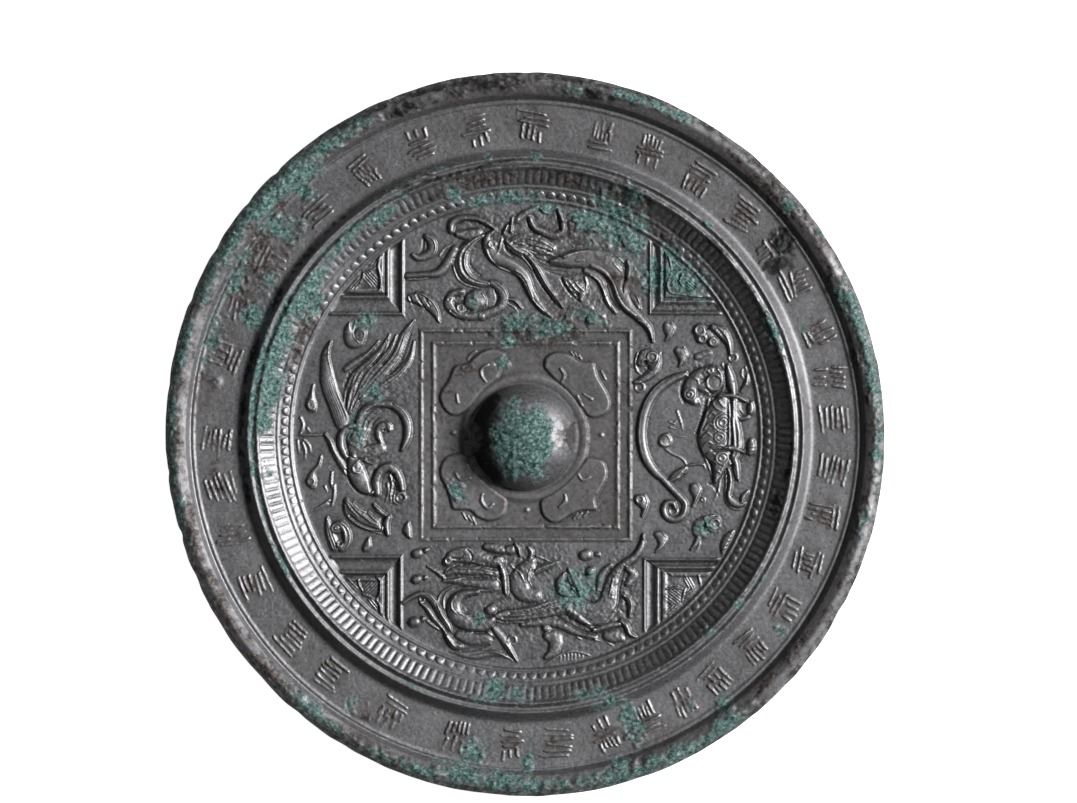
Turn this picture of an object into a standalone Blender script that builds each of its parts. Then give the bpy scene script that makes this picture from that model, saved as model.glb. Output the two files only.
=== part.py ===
# A cast bronze mirror that lies on its reflecting face, with its figured back up.
# The frame is +Z up out of the back and +Y towards the striding beast, with the
# origin in the middle of the reflecting face.

import math
import random

import bmesh
import bpy
from mathutils import Matrix, Vector

MM = 0.001

# The rings of the back, from the middle outwards: the width of each.
FIELD_RADIUS = 57.8 * MM
FIELD_LINE_WIDTH = 1.2 * MM
BEAD_BAND_WIDTH = 2.8 * MM
COMB_LINE_WIDTH = 0.7 * MM
COMB_BAND_WIDTH = 3.8 * MM
INNER_CREST_WIDTH = 0.9 * MM
CREST_GROOVE_WIDTH = 1.1 * MM
OUTER_CREST_WIDTH = 0.7 * MM
RIDGE_SLOPE_WIDTH = 2.8 * MM
INSCRIPTION_WIDTH = 11.6 * MM
RIM_SLOPE_WIDTH = 2.4 * MM
RIM_TOP_WIDTH = 2.9 * MM
RIM_BEVEL_WIDTH = 1.3 * MM
EDGE_UNDERCUT = 0.3 * MM

# Heights above the reflecting face.
FIELD_HEIGHT = 2.6 * MM
BAND_FOOT_HEIGHT = 3.0 * MM
COMB_TOP_HEIGHT = 6.4 * MM
INNER_CREST_HEIGHT = 7.0 * MM
CREST_GROOVE_HEIGHT = 6.4 * MM
OUTER_CREST_HEIGHT = 6.9 * MM
INSCRIPTION_HEIGHT = 4.2 * MM
RIM_SHOULDER_HEIGHT = 7.1 * MM
RIM_CROWN_HEIGHT = 7.4 * MM
EDGE_HEIGHT = 5.2 * MM
LINE_RISE = 0.25 * MM

# The comb band's teeth.
TOOTH_COUNT = 212
TOOTH_WIDTH = 1.3 * MM
TOOTH_RISE = 0.4 * MM
TOOTH_END_GAP = 0.25 * MM

# The boss and the low ring round it, with their roots in the disc, and the cord's hole.
BOSS_RADIUS = 13.4 * MM
BOSS_HEIGHT = 10.2 * MM
BOSS_CENTRE = Vector((-0.2 * MM, -0.6 * MM))
BOSS_RING_WIDTH = 2.7 * MM
BOSS_RING_RISE = 0.35 * MM
BOSS_ROOT = 1.3 * MM
BOSS_RING_ROOT = 1.6 * MM
CORD_HOLE_WIDTH = 7.6 * MM
CORD_HOLE_HEIGHT = 6.4 * MM
CORD_HOLE_FLOOR = 0.15 * MM

# The square round the boss and the four corner brackets, in raised double lines.
SQUARE_HALF_WIDTH = 26.2 * MM
BRACKET_CORNER = 30.8 * MM
LINE_SPACING = 3.1 * MM
LINE_WIDTH = 0.9 * MM
LINE_HEIGHT = 0.55 * MM
BRACKET_LEAF_GAP = 1.6 * MM
BRACKET_LEAF_RISE = 0.5 * MM
BRACKET_LEAF_STEPS = 4

# A raised line's or swelling's widest level lies this far under the surface it stands on.
SINK = 0.12 * MM

# The inscription's place: groups of plain strokes.
GROUP_COUNT = 26
GROUP_SIZE = 6.4 * MM
STROKES_PER_GROUP = 2
STROKE_WIDTH = 0.8 * MM
STROKE_RISE = 0.35 * MM
STROKE_SEED = 7

# The creatures are drawn on a field this many units in radius. A mark is (x, y,
# half width) in those units, and a ridge stands RIDGE_STEEPNESS of its half width.
DRAWN_FIELD_RADIUS = 57.8
UNIT = FIELD_RADIUS / DRAWN_FIELD_RADIUS
RIDGE_STEEPNESS = 0.75
FACET_LENGTH = 4.6

# A cloud lobe round the boss, in the same units: two rounds (x, y, from and to angle)
# that meet in a cusp.
LOBE_ROUNDS = ((9.4, 16.8, 215, 35), (17.0, 9.4, 55, -125))
LOBE_ROUND_RADIUS = 4.4
LOBE_CUSP = (17.3, 17.6)
LOBE_FOOT_ANGLES = (35.5, 45.0, 54.5)
LOBE_RISE = 0.55 * MM
LOBE_OVERLAP = 0.6 * MM
LOBE_STEPS = 5

BODY_FACETS = 52
BOSS_FACETS = 24
BOSS_ROWS = 5
ARCH_FACETS = 8
BEAD_FACETS = 6
BEAD_ROWS = 4
LARGE_BEAD = 3.0
LARGE_BEAD_FACETS = 12
LARGE_BEAD_ROWS = 6
TINY_MERGE = 0.00001

# The radii that follow from the widths.
BEAD_INNER = FIELD_RADIUS + FIELD_LINE_WIDTH
BEAD_OUTER = BEAD_INNER + BEAD_BAND_WIDTH
COMB_INNER = BEAD_OUTER + COMB_LINE_WIDTH
COMB_OUTER = COMB_INNER + COMB_BAND_WIDTH
INNER_CREST_RADIUS = COMB_OUTER + INNER_CREST_WIDTH
CREST_GROOVE_RADIUS = INNER_CREST_RADIUS + CREST_GROOVE_WIDTH
OUTER_CREST_RADIUS = CREST_GROOVE_RADIUS + OUTER_CREST_WIDTH
INSCRIPTION_INNER = OUTER_CREST_RADIUS + RIDGE_SLOPE_WIDTH
INSCRIPTION_OUTER = INSCRIPTION_INNER + INSCRIPTION_WIDTH
RIM_INNER = INSCRIPTION_OUTER + RIM_SLOPE_WIDTH
RIM_OUTER = RIM_INNER + RIM_TOP_WIDTH
MIRROR_RADIUS = RIM_OUTER + RIM_BEVEL_WIDTH


def clear_scene():
    """Removes what the file starts with."""
    for item in list(bpy.data.objects):
        bpy.data.objects.remove(item, do_unlink=True)


def new_collection(name):
    """A collection under the scene's own."""
    group = bpy.data.collections.new(name)
    bpy.context.scene.collection.children.link(group)
    return group


def bronze_material():
    """Dark tin bronze under a thin patina."""
    material = bpy.data.materials.new("patinated_bronze")
    material.use_nodes = True
    shader = material.node_tree.nodes["Principled BSDF"]
    shader.inputs["Base Color"].default_value = (0.11, 0.11, 0.12, 1.0)
    shader.inputs["Metallic"].default_value = 0.85
    shader.inputs["Roughness"].default_value = 0.42
    return material


def link_mesh(name, form, group):
    """An object in the group from a bmesh, which is freed."""
    mesh = bpy.data.meshes.new(name)
    form.to_mesh(mesh)
    form.free()
    piece = bpy.data.objects.new(name, mesh)
    group.objects.link(piece)
    return piece


def band_height(radius):
    """The height of the sloping band that holds the beads and the comb teeth."""
    share = (radius - BEAD_INNER) / (COMB_OUTER - BEAD_INNER)
    return BAND_FOOT_HEIGHT + share * (COMB_TOP_HEIGHT - BAND_FOOT_HEIGHT)


def disc_profile():
    """The turned profile (radius, height), over the back and down the edge to the face."""
    line_middle = BEAD_OUTER + COMB_LINE_WIDTH / 2
    field_line = FIELD_RADIUS + FIELD_LINE_WIDTH / 2
    rim_middle = (RIM_INNER + RIM_OUTER) / 2
    return [
        (0.0, FIELD_HEIGHT),
        (FIELD_RADIUS, FIELD_HEIGHT),
        (field_line, BAND_FOOT_HEIGHT + LINE_RISE),
        (BEAD_INNER, BAND_FOOT_HEIGHT),
        (BEAD_OUTER, band_height(BEAD_OUTER)),
        (line_middle, band_height(line_middle) + LINE_RISE),
        (COMB_INNER, band_height(COMB_INNER)),
        (COMB_OUTER, COMB_TOP_HEIGHT),
        (INNER_CREST_RADIUS, INNER_CREST_HEIGHT),
        (CREST_GROOVE_RADIUS, CREST_GROOVE_HEIGHT),
        (OUTER_CREST_RADIUS, OUTER_CREST_HEIGHT),
        (INSCRIPTION_INNER, INSCRIPTION_HEIGHT),
        (INSCRIPTION_OUTER, INSCRIPTION_HEIGHT),
        (RIM_INNER, RIM_SHOULDER_HEIGHT),
        (rim_middle, RIM_CROWN_HEIGHT),
        (RIM_OUTER, RIM_SHOULDER_HEIGHT),
        (MIRROR_RADIUS, EDGE_HEIGHT),
        (MIRROR_RADIUS - EDGE_UNDERCUT, 0.0),
        (0.0, 0.0),
    ]


def turned(name, profile, facets, group):
    """A profile turned round Z with a Screw modifier; one that clears the axis is a loop."""
    form = bmesh.new()
    corners = [form.verts.new((radius, 0.0, height)) for radius, height in profile]
    if profile[0][0] > 0.0:
        corners.append(corners[0])
    for first, second in zip(corners, corners[1:]):
        form.edges.new((first, second))
    piece = link_mesh(name, form, group)
    screw = piece.modifiers.new("turn", "SCREW")
    screw.steps = facets
    screw.render_steps = facets
    screw.use_merge_vertices = True
    screw.merge_threshold = TINY_MERGE
    return piece


def bar(form, length, width, rise, place):
    """A bar with a roof-shaped top, its widest level sunk in what carries it."""
    turn_on_edge = Matrix.Rotation(math.radians(45), 4, "X")
    depth = rise + SINK
    spread = width * depth / rise
    flatten = Matrix.Diagonal((length, spread / math.sqrt(2), depth * math.sqrt(2), 1.0))
    sink = Matrix.Translation((0.0, 0.0, -SINK))
    made = bmesh.ops.create_cube(form, size=1.0, matrix=turn_on_edge)
    bmesh.ops.transform(form, matrix=place @ sink @ flatten, verts=made["verts"])


def comb_teeth(group):
    """The radial teeth of the comb band, each lying along its slope."""
    form = bmesh.new()
    middle = (COMB_INNER + COMB_OUTER) / 2
    slope = math.atan2(COMB_TOP_HEIGHT - BAND_FOOT_HEIGHT, COMB_OUTER - BEAD_INNER)
    length = (COMB_BAND_WIDTH - 2 * TOOTH_END_GAP) / math.cos(slope)
    lie = Matrix.Rotation(-slope, 4, "Y")
    for index in range(TOOTH_COUNT):
        around = Matrix.Rotation(2 * math.pi * index / TOOTH_COUNT, 4, "Z")
        out = Matrix.Translation((middle, 0.0, band_height(middle)))
        bar(form, length, TOOTH_WIDTH, TOOTH_RISE, around @ out @ lie)
    return link_mesh("comb_teeth", form, group)


def stroke_groups(group):
    """Groups of plain strokes round the band, which are not letters."""
    choose = random.Random(STROKE_SEED)
    form = bmesh.new()
    middle = (INSCRIPTION_INNER + INSCRIPTION_OUTER) / 2
    spacing = GROUP_SIZE / STROKES_PER_GROUP
    for index in range(GROUP_COUNT):
        around = Matrix.Rotation(2 * math.pi * (index + 0.5) / GROUP_COUNT, 4, "Z")
        for row in range(STROKES_PER_GROUP):
            out = middle + (row - (STROKES_PER_GROUP - 1) / 2) * spacing
            along = choose.uniform(-0.1, 0.1) * GROUP_SIZE
            turn = Matrix.Rotation(math.pi / 2 + choose.uniform(-0.35, 0.35), 4, "Z")
            place = Matrix.Translation((out, along, INSCRIPTION_HEIGHT))
            length = GROUP_SIZE * choose.uniform(0.55, 0.95)
            bar(form, length, STROKE_WIDTH, STROKE_RISE, around @ place @ turn)
    return link_mesh("stroke_groups", form, group)


def double_lines(name, half_width, group):
    """A square of two raised lines: a roof profile turned in four steps."""
    pieces = []
    half_line = LINE_WIDTH / 2 * (LINE_HEIGHT + SINK) / LINE_HEIGHT
    for count, outer in enumerate((half_width, half_width - LINE_SPACING)):
        reach = math.sqrt(2)
        profile = [
            ((outer - half_line) * reach, -SINK),
            (outer * reach, LINE_HEIGHT),
            ((outer + half_line) * reach, -SINK),
            (outer * reach, -LINE_HEIGHT),
        ]
        line = turned(f"{name}_line_{count}", profile, 4, group)
        line.location = (0.0, 0.0, FIELD_HEIGHT)
        line.rotation_euler = (0.0, 0.0, math.pi / 4)
        pieces.append(line)
    return pieces


def field_reach(offset):
    """How far out a line at this offset from the middle runs before it meets the bands."""
    return math.sqrt((FIELD_RADIUS + FIELD_LINE_WIDTH / 4) ** 2 - offset**2)


def corner_bracket(quarter, group):
    """An L of two raised lines with a leaf in its corner, run out to the bands."""
    form = bmesh.new()
    around = Matrix.Rotation(math.pi / 2 * quarter, 4, "Z")
    lift = Matrix.Translation((0.0, 0.0, FIELD_HEIGHT))
    for corner in (BRACKET_CORNER, BRACKET_CORNER + LINE_SPACING):
        end = field_reach(corner)
        middle = (corner + end) / 2
        length = end - corner
        along_x = Matrix.Translation((middle, corner, 0.0))
        along_y = Matrix.Translation((corner, middle, 0.0)) @ Matrix.Rotation(math.pi / 2, 4, "Z")
        for place in (along_x, along_y):
            bar(form, length, LINE_WIDTH, LINE_HEIGHT, around @ lift @ place)
    return link_mesh(f"bracket_{quarter}", form, group)


def plate(name, outline, rise, group):
    """A flat outline (x, y) standing this far above the field."""
    sink = FIELD_HEIGHT / 2
    curve = bpy.data.curves.new(name, "CURVE")
    curve.dimensions = "2D"
    curve.fill_mode = "BOTH"
    curve.extrude = (rise + sink) / 2
    spline = curve.splines.new("POLY")
    spline.points.add(len(outline) - 1)
    for point, (x, y) in zip(spline.points, outline):
        point.co = (x, y, 0.0, 1.0)
    spline.use_cyclic_u = True
    height = FIELD_HEIGHT + (rise - sink) / 2
    return meshed(curve, Matrix.Translation((0.0, 0.0, height)), group)


def meshed(curve, place, group):
    """A curve made into a closed mesh object, its caps welded."""
    source = bpy.data.objects.new(curve.name, curve)
    group.objects.link(source)
    source.matrix_world = place
    bpy.context.view_layer.update()
    solid = source.evaluated_get(bpy.context.evaluated_depsgraph_get())
    mesh = bpy.data.meshes.new_from_object(solid)
    form = bmesh.new()
    form.from_mesh(mesh)
    bmesh.ops.remove_doubles(form, verts=form.verts, dist=TINY_MERGE)
    form.to_mesh(mesh)
    form.free()
    piece = bpy.data.objects.new(curve.name, mesh)
    group.objects.link(piece)
    piece.matrix_world = place
    bpy.data.objects.remove(source, do_unlink=True)
    return piece


def bracket_leaf(quarter, group):
    """The raised leaf that fills a bracket, with its back along the bands."""
    inner = BRACKET_CORNER + LINE_SPACING + BRACKET_LEAF_GAP
    reach = FIELD_RADIUS - BRACKET_LEAF_GAP
    start = math.asin(inner / reach)
    outline = [Vector((inner, inner))]
    for step in range(BRACKET_LEAF_STEPS + 1):
        angle = start + (math.pi / 2 - 2 * start) * step / BRACKET_LEAF_STEPS
        outline.append(Vector((reach * math.cos(angle), reach * math.sin(angle))))
    turn = Matrix.Rotation(math.pi / 2 * quarter, 2)
    turned_outline = [tuple(turn @ point) for point in outline]
    return plate(f"leaf_{quarter}", turned_outline, BRACKET_LEAF_RISE, group)


def smooth_path(marks):
    """Marks along a Catmull-Rom curve, about one facet length apart."""
    padded = [marks[0], *marks, marks[-1]]
    path = []
    for before, start, end, after in zip(padded, padded[1:], padded[2:], padded[3:]):
        gap = math.dist(start[:2], end[:2])
        steps = max(1, round(gap / FACET_LENGTH))
        for step in range(steps):
            t = step / steps
            weights = (
                -0.5 * t**3 + t**2 - 0.5 * t,
                1.5 * t**3 - 2.5 * t**2 + 1.0,
                -1.5 * t**3 + 2.0 * t**2 + 0.5 * t,
                0.5 * t**3 - 0.5 * t**2,
            )
            corners = (before, start, end, after)
            path.append([sum(w * c[k] for w, c in zip(weights, corners)) for k in range(3)])
    path.append(list(marks[-1]))
    return path


def ridge(name, marks, group):
    """A raised stroke through the marks, its widest level sunk in the field."""
    path = smooth_path(marks)
    spread = SINK / RIDGE_STEEPNESS / UNIT
    curve = bpy.data.curves.new(name, "CURVE")
    curve.dimensions = "3D"
    curve.bevel_depth = UNIT
    curve.bevel_resolution = 0
    curve.use_fill_caps = True
    curve.twist_mode = "Z_UP"
    spline = curve.splines.new("POLY")
    spline.points.add(len(path) - 1)
    for point, (x, y, half_width) in zip(spline.points, path):
        point.co = (x * UNIT, y * UNIT, 0.0, 1.0)
        point.radius = half_width + spread
    lift = Matrix.Translation((0.0, 0.0, FIELD_HEIGHT - SINK))
    return meshed(curve, lift @ Matrix.Diagonal((1.0, 1.0, RIDGE_STEEPNESS, 1.0)), group)


def bead(name, x, y, long_half, short_half, turn, rise, group):
    """A raised oval swelling, its widest level sunk in the field."""
    form = bmesh.new()
    size = Matrix.Diagonal((long_half * UNIT, short_half * UNIT, rise * UNIT, 1.0))
    spin = Matrix.Rotation(math.radians(turn), 4, "Z")
    place = Matrix.Translation((x * UNIT, y * UNIT, FIELD_HEIGHT - SINK))
    large = long_half > LARGE_BEAD
    facets = LARGE_BEAD_FACETS if large else BEAD_FACETS
    rows = LARGE_BEAD_ROWS if large else BEAD_ROWS
    bmesh.ops.create_uvsphere(form, u_segments=facets, v_segments=rows, radius=1.0)
    bmesh.ops.transform(form, matrix=place @ spin @ size, verts=form.verts)
    return link_mesh(name, form, group)


# The striding beast above the square: its strokes and swellings, left to right.
BEAST_STROKES = {
    "beast_breast": [
        (-12, 48.6, 0.5), (-15.6, 46.2, 1.2), (-16.8, 42.5, 1.4), (-15, 38.9, 1.3), (-10.6, 38, 0.6),
    ],
    "beast_chest": [
        (-5.6, 51, 0.5), (-9.2, 48.6, 1.1), (-8.4, 44.8, 1.2), (-3, 41.7, 1.0), (0.7, 37.6, 0.8),
        (4.5, 31.2, 0.4),
    ],
    "beast_foreleg": [
        (-18, 46.6, 1.1), (-19.9, 43.2, 1.1), (-21.8, 40.4, 0.9), (-26, 40.4, 0.8), (-29.6, 40, 0.9),
    ],
    "beast_mane": [(-5.2, 50.6, 0.6), (-4, 52.8, 0.7), (-3.3, 54.6, 0.3)],
    "beast_horn": [(-3, 51, 0.7), (-1, 53.8, 1.0), (1.2, 55.8, 0.9), (3, 57.4, 0.4)],
    "beast_neck": [(-0.4, 53, 0.5), (1.5, 50.6, 0.9), (4.5, 49.5, 1.0), (8, 48.5, 0.6)],
    "beast_wing": [(3.6, 54.2, 0.9), (6.5, 54, 1.6), (9.2, 52.4, 1.0), (10, 49.6, 0.5)],
    "beast_shoulder": [
        (-4.6, 48.5, 0.6), (-2, 46.3, 1.0), (1.4, 43.6, 1.1), (4.3, 39.4, 1.1), (8.9, 32, 0.7),
    ],
    "beast_back": [(3, 47.4, 0.9), (8, 46, 1.5), (13, 44.9, 2.0), (17.5, 44.4, 2.1), (21.2, 40.8, 1.6)],
    "beast_tail": [
        (20, 42, 1.4), (22.6, 36.6, 1.3), (25.4, 31.4, 1.1), (30.3, 27.4, 1.0), (31.9, 23.4, 0.4),
    ],
    "beast_hind_leg": [(14.5, 42.6, 0.8), (18.4, 39, 1.1), (20.3, 34.4, 1.0), (24, 29.2, 0.5)],
    "beast_fin": [(9.4, 39.6, 0.5), (12.5, 38.6, 1.1), (15.3, 38, 1.0), (14, 33.4, 0.4)],
    "beast_claw": [(23.6, 42.4, 0.5), (25.9, 41.6, 0.9), (25.6, 38.6, 0.8), (24.7, 36.2, 0.4)],
}
BEAST_BEADS = {
    "beast_head": (-14.4, 52.3, 3.0, 1.8, 5, 1.1),
    "beast_eye": (3.2, 51.4, 0.9, 0.8, 0, 0.9),
    "beast_crust": (14.5, 53, 3.4, 2.2, -15, 0.9),
    "beast_haunch": (27, 48, 2.2, 2.4, 0, 0.8),
}

# The dragon below the square.
DRAGON_STROKES = {
    "dragon_snout": [
        (-24.4, -33, 0.3), (-21.4, -34.6, 0.6), (-16, -36.3, 0.7), (-9, -35.8, 0.8), (-6.2, -37.2, 0.5),
    ],
    "dragon_nose": [(-20, -35, 0.5), (-18, -33.4, 0.8), (-12, -33.4, 0.9), (-7, -34.4, 0.8)],
    "dragon_jaw": [(-19.8, -39, 0.6), (-15.5, -37.8, 1.0), (-8, -39, 0.8)],
    "dragon_crest": [(-20.4, -31.7, 0.9), (-18, -29.6, 1.1), (-13, -30.6, 1.2), (-7.2, -32, 1.1)],
    "dragon_ear": [(-11.6, -28, 0.7), (-7, -28.6, 1.2), (-3.8, -29, 1.3)],
    "dragon_throat": [(-5.2, -33.6, 0.8), (-5, -38.5, 1.1), (-7, -41.2, 0.6)],
    "dragon_neck": [(0.4, -28, 0.6), (0.6, -32.5, 1.3), (-1.5, -38, 1.8), (0.5, -41.5, 1.4)],
    "dragon_breast": [(-20.6, -40, 0.8), (-20.8, -44.4, 1.0), (-18.4, -48.2, 1.0), (-12, -50.4, 0.8)],
    "dragon_forearm": [
        (-30.4, -41.9, 0.6), (-27.4, -40.2, 0.8), (-24.2, -40.8, 1.0), (-22.2, -44.5, 0.8),
        (-19.2, -48.4, 0.6),
    ],
    "dragon_far_arm": [
        (-26.5, -42.2, 0.4), (-23.6, -44.4, 0.8), (-20.2, -48.9, 0.8), (-18, -52.6, 0.9),
        (-12, -52.8, 0.8), (-8, -51, 0.5),
    ],
    "dragon_belly": [
        (-7.4, -45.6, 0.7), (-4, -44.4, 1.2), (2, -43.4, 1.3), (8, -41.4, 1.4), (13, -42.4, 1.4),
    ],
    "dragon_leg": [(-7.4, -47.4, 0.6), (-6.2, -50.6, 1.1), (-4, -54, 1.0), (-2.1, -56.8, 0.5)],
    "dragon_underside": [(-2, -47.6, 0.6), (4, -47.4, 1.2), (9, -48.2, 1.0), (16, -50.4, 0.7)],
    "dragon_knee": [(5.5, -48.5, 0.9), (7.5, -51.5, 1.5), (4.4, -55, 0.8)],
    "dragon_haunch_edge": [(11, -43.2, 0.8), (14, -46.2, 1.0), (17.4, -48.6, 0.9), (24.6, -49.8, 0.7)],
    "dragon_thigh": [(22, -36, 1.1), (21.6, -40, 1.6), (19, -44.6, 1.8)],
    "dragon_tail": [
        (15, -41.6, 1.2), (18.4, -38, 1.3), (22.4, -33.4, 1.2), (27.4, -30.8, 1.0), (29.6, -27.4, 0.8),
        (29.7, -25, 0.4),
    ],
    "dragon_flame": [
        (7.6, -39, 0.5), (8.2, -36.6, 0.9), (10.8, -34.2, 0.6), (12.9, -37, 0.9), (13.6, -40, 0.5),
    ],
    "dragon_hill": [(5, -57, 0.3), (9.5, -55, 0.6), (13.5, -54.8, 0.6), (18, -56.2, 0.3)],
    "dragon_claw": [(25.2, -40.2, 0.4), (26.5, -43, 0.9), (26.2, -45.8, 0.5)],
    "dragon_hind_claw": [(23.4, -46.8, 0.5), (25.9, -48, 0.9), (27, -51, 0.6)],
}
DRAGON_BEADS = {
    "dragon_chest": (-14.4, -43.8, 4.8, 3.8, -10, 1.3),
    "dragon_pearl": (-9, -44, 1.4, 1.4, 0, 1.2),
    "dragon_haunch": (18, -45, 4.4, 2.8, -20, 0.9),
}

# The long-tailed bird to the left of the square.
BIRD_STROKES = {
    "bird_plume": [
        (-49, 23.6, 0.3), (-50.2, 18.5, 1.0), (-49.9, 13.5, 1.5), (-48, 9.5, 1.5), (-45.6, 4, 1.4),
    ],
    "bird_feather_0": [
        (-37, 23.6, 0.3), (-39.6, 20, 0.9), (-42.6, 17.6, 0.9), (-45.6, 15.8, 0.8), (-45.4, 7.5, 0.9),
    ],
    "bird_feather_1": [(-34.2, 25.2, 0.3), (-36, 20.6, 1.0), (-39.6, 16.6, 1.0), (-43.6, 12.6, 0.8)],
    "bird_feather_2": [(-30.6, 26.8, 0.3), (-32.6, 22, 1.0), (-36.4, 17, 1.0), (-41.6, 12.4, 0.8)],
    "bird_feather_3": [(-28.2, 28.4, 0.3), (-30, 22, 1.0), (-33.6, 16.6, 1.1), (-39.6, 11.8, 0.9)],
    "bird_feather_4": [
        (-27.8, 22.6, 0.3), (-30.6, 16.6, 1.0), (-36, 12.4, 1.1), (-42, 9.6, 0.8), (-44.2, 5.2, 0.6),
    ],
    "bird_wing": [
        (-43.4, 3.4, 0.5), (-41.6, 6.6, 0.9), (-37, 8.2, 0.9), (-32, 6.8, 1.0), (-29.2, 3, 1.0),
        (-29.6, -1.6, 0.9), (-31.4, -4, 0.5),
    ],
    "bird_wing_heart": [(-33.5, 2.2, 0.5), (-35.4, 3, 0.9), (-37, 1, 0.9), (-35.6, -0.9, 0.6)],
    "bird_ring": [
        (-41.4, 1, 0.8), (-43.6, 2.2, 0.9), (-46.4, 0, 1.0), (-46.9, -3.6, 1.0), (-45.4, -6.4, 0.6),
    ],
    "bird_neck": [
        (-40.4, 5, 0.8), (-38.4, 0, 1.6), (-40, -6, 1.8), (-41.8, -10.4, 1.8), (-40.4, -14, 1.2),
        (-36.4, -16, 1.0), (-35.6, -12, 1.4), (-34.4, -8.4, 0.9),
    ],
    "bird_throat": [(-36.6, -7.8, 0.5), (-33.6, -7.4, 0.9), (-31, -10.6, 1.0), (-30.2, -14.4, 0.7)],
    "bird_beak": [(-34, -10.2, 0.4), (-33.4, -13.4, 0.7), (-33.6, -16.8, 0.5)],
    "bird_back": [(-50.2, -0.4, 0.4), (-48.6, -3.6, 0.8), (-46, -7.8, 0.7)],
    "bird_leg": [(-56.4, -0.8, 0.5), (-52, -0.6, 0.7), (-50, -1.4, 0.6)],
    "bird_foot": [(-56.3, 4, 0.3), (-55.9, 2.2, 0.6), (-56.6, 0, 0.5)],
    "bird_far_leg": [(-48.8, -9.4, 0.5), (-48.4, -14, 0.7), (-48.8, -17.8, 0.4)],
    "cloud_leaf_edge": [
        (-36.8, -17.2, 0.5), (-35.4, -19.6, 0.8), (-34, -20.8, 0.9), (-34.3, -23, 0.9),
        (-33.8, -25, 0.4),
    ],
}
BIRD_BEADS = {
    "bird_breast": (-43.4, -0.6, 2.4, 2.4, 0, 1.2),
    "bird_cheek": (-31.3, -15.7, 1.5, 1.4, 0, 0.9),
    "cloud_leaf": (-40.8, -20, 5.6, 2.5, -40, 1.1),
}

# The tortoise and the snake that loops in front of it, to the right of the square.
TORTOISE_STROKES = {
    "snake_coil": [
        (47.4, 16.8, 1.0), (43, 15.6, 1.0), (37, 13.2, 1.0), (31.4, 9, 1.1), (29.1, 1.5, 1.1),
        (30.6, -7, 1.1), (34.4, -11.8, 1.1), (38.4, -15.8, 1.1),
    ],
    "snake_curl": [
        (38.4, -15.8, 1.1), (40.2, -18.6, 1.0), (37.6, -21.2, 1.0), (34.9, -19.8, 0.9),
        (36, -17.6, 0.6),
    ],
    "snake_tail": [(36, -11.5, 0.5), (39.6, -8.8, 1.0), (44.3, -7.8, 0.7), (45.2, -10, 0.4)],
    "shell_edge": [
        (45.9, 8.8, 0.5), (45.1, 5.4, 0.8), (43.4, 0.4, 0.8), (45, -6.6, 0.8), (47, -12.4, 0.5),
    ],
    "shell_far_edge": [
        (51.6, 9, 0.6), (51.6, 2, 0.8), (51.6, -4, 0.8), (49.6, -9, 0.7), (48, -12.6, 0.5),
    ],
    "tortoise_foot": [(50.8, 17, 0.6), (51.5, 14, 1.0), (52.4, 10.8, 0.6)],
    "tortoise_toe": [(54.6, 16.8, 0.5), (54.2, 14.6, 0.7), (55.4, 12, 0.5)],
    "tortoise_arm": [(50.4, 9.8, 0.6), (53.4, 9.4, 0.9), (55.6, 8.2, 0.5)],
    "tortoise_hand": [(52.6, 8.2, 0.5), (52.8, 5.4, 0.8), (55, 4, 0.8), (56.6, 5, 0.5)],
    "tortoise_hind_leg": [(52, -4, 0.9), (52.9, -7.8, 1.0), (53.3, -11.2, 0.6)],
    "tortoise_hind_foot": [
        (50.5, -9, 0.5), (51, -12, 0.7), (50.7, -15, 0.8), (52.4, -17.3, 1.1), (55, -16, 0.6),
    ],
    "tortoise_neck": [(42.6, 13.6, 0.8), (45, 12.6, 1.2), (46, 10.8, 0.8)],
}
TORTOISE_BEADS = {
    "shell": (48.1, -0.6, 10.6, 4.0, 90, 1.5),
    "tortoise_head": (47.3, 13.2, 2.6, 2.4, 0, 1.2),
    "tortoise_curl": (41.4, 10.1, 2.1, 2.3, 0, 1.0),
    "snake_eye": (34.8, -1.6, 1.5, 2.0, 15, 0.8),
    "tortoise_paw": (56.8, -3.2, 1.5, 1.6, 0, 0.7),
    "tortoise_shoulder": (45.6, 18.4, 2.6, 1.6, 10, 0.9),
}

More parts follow.
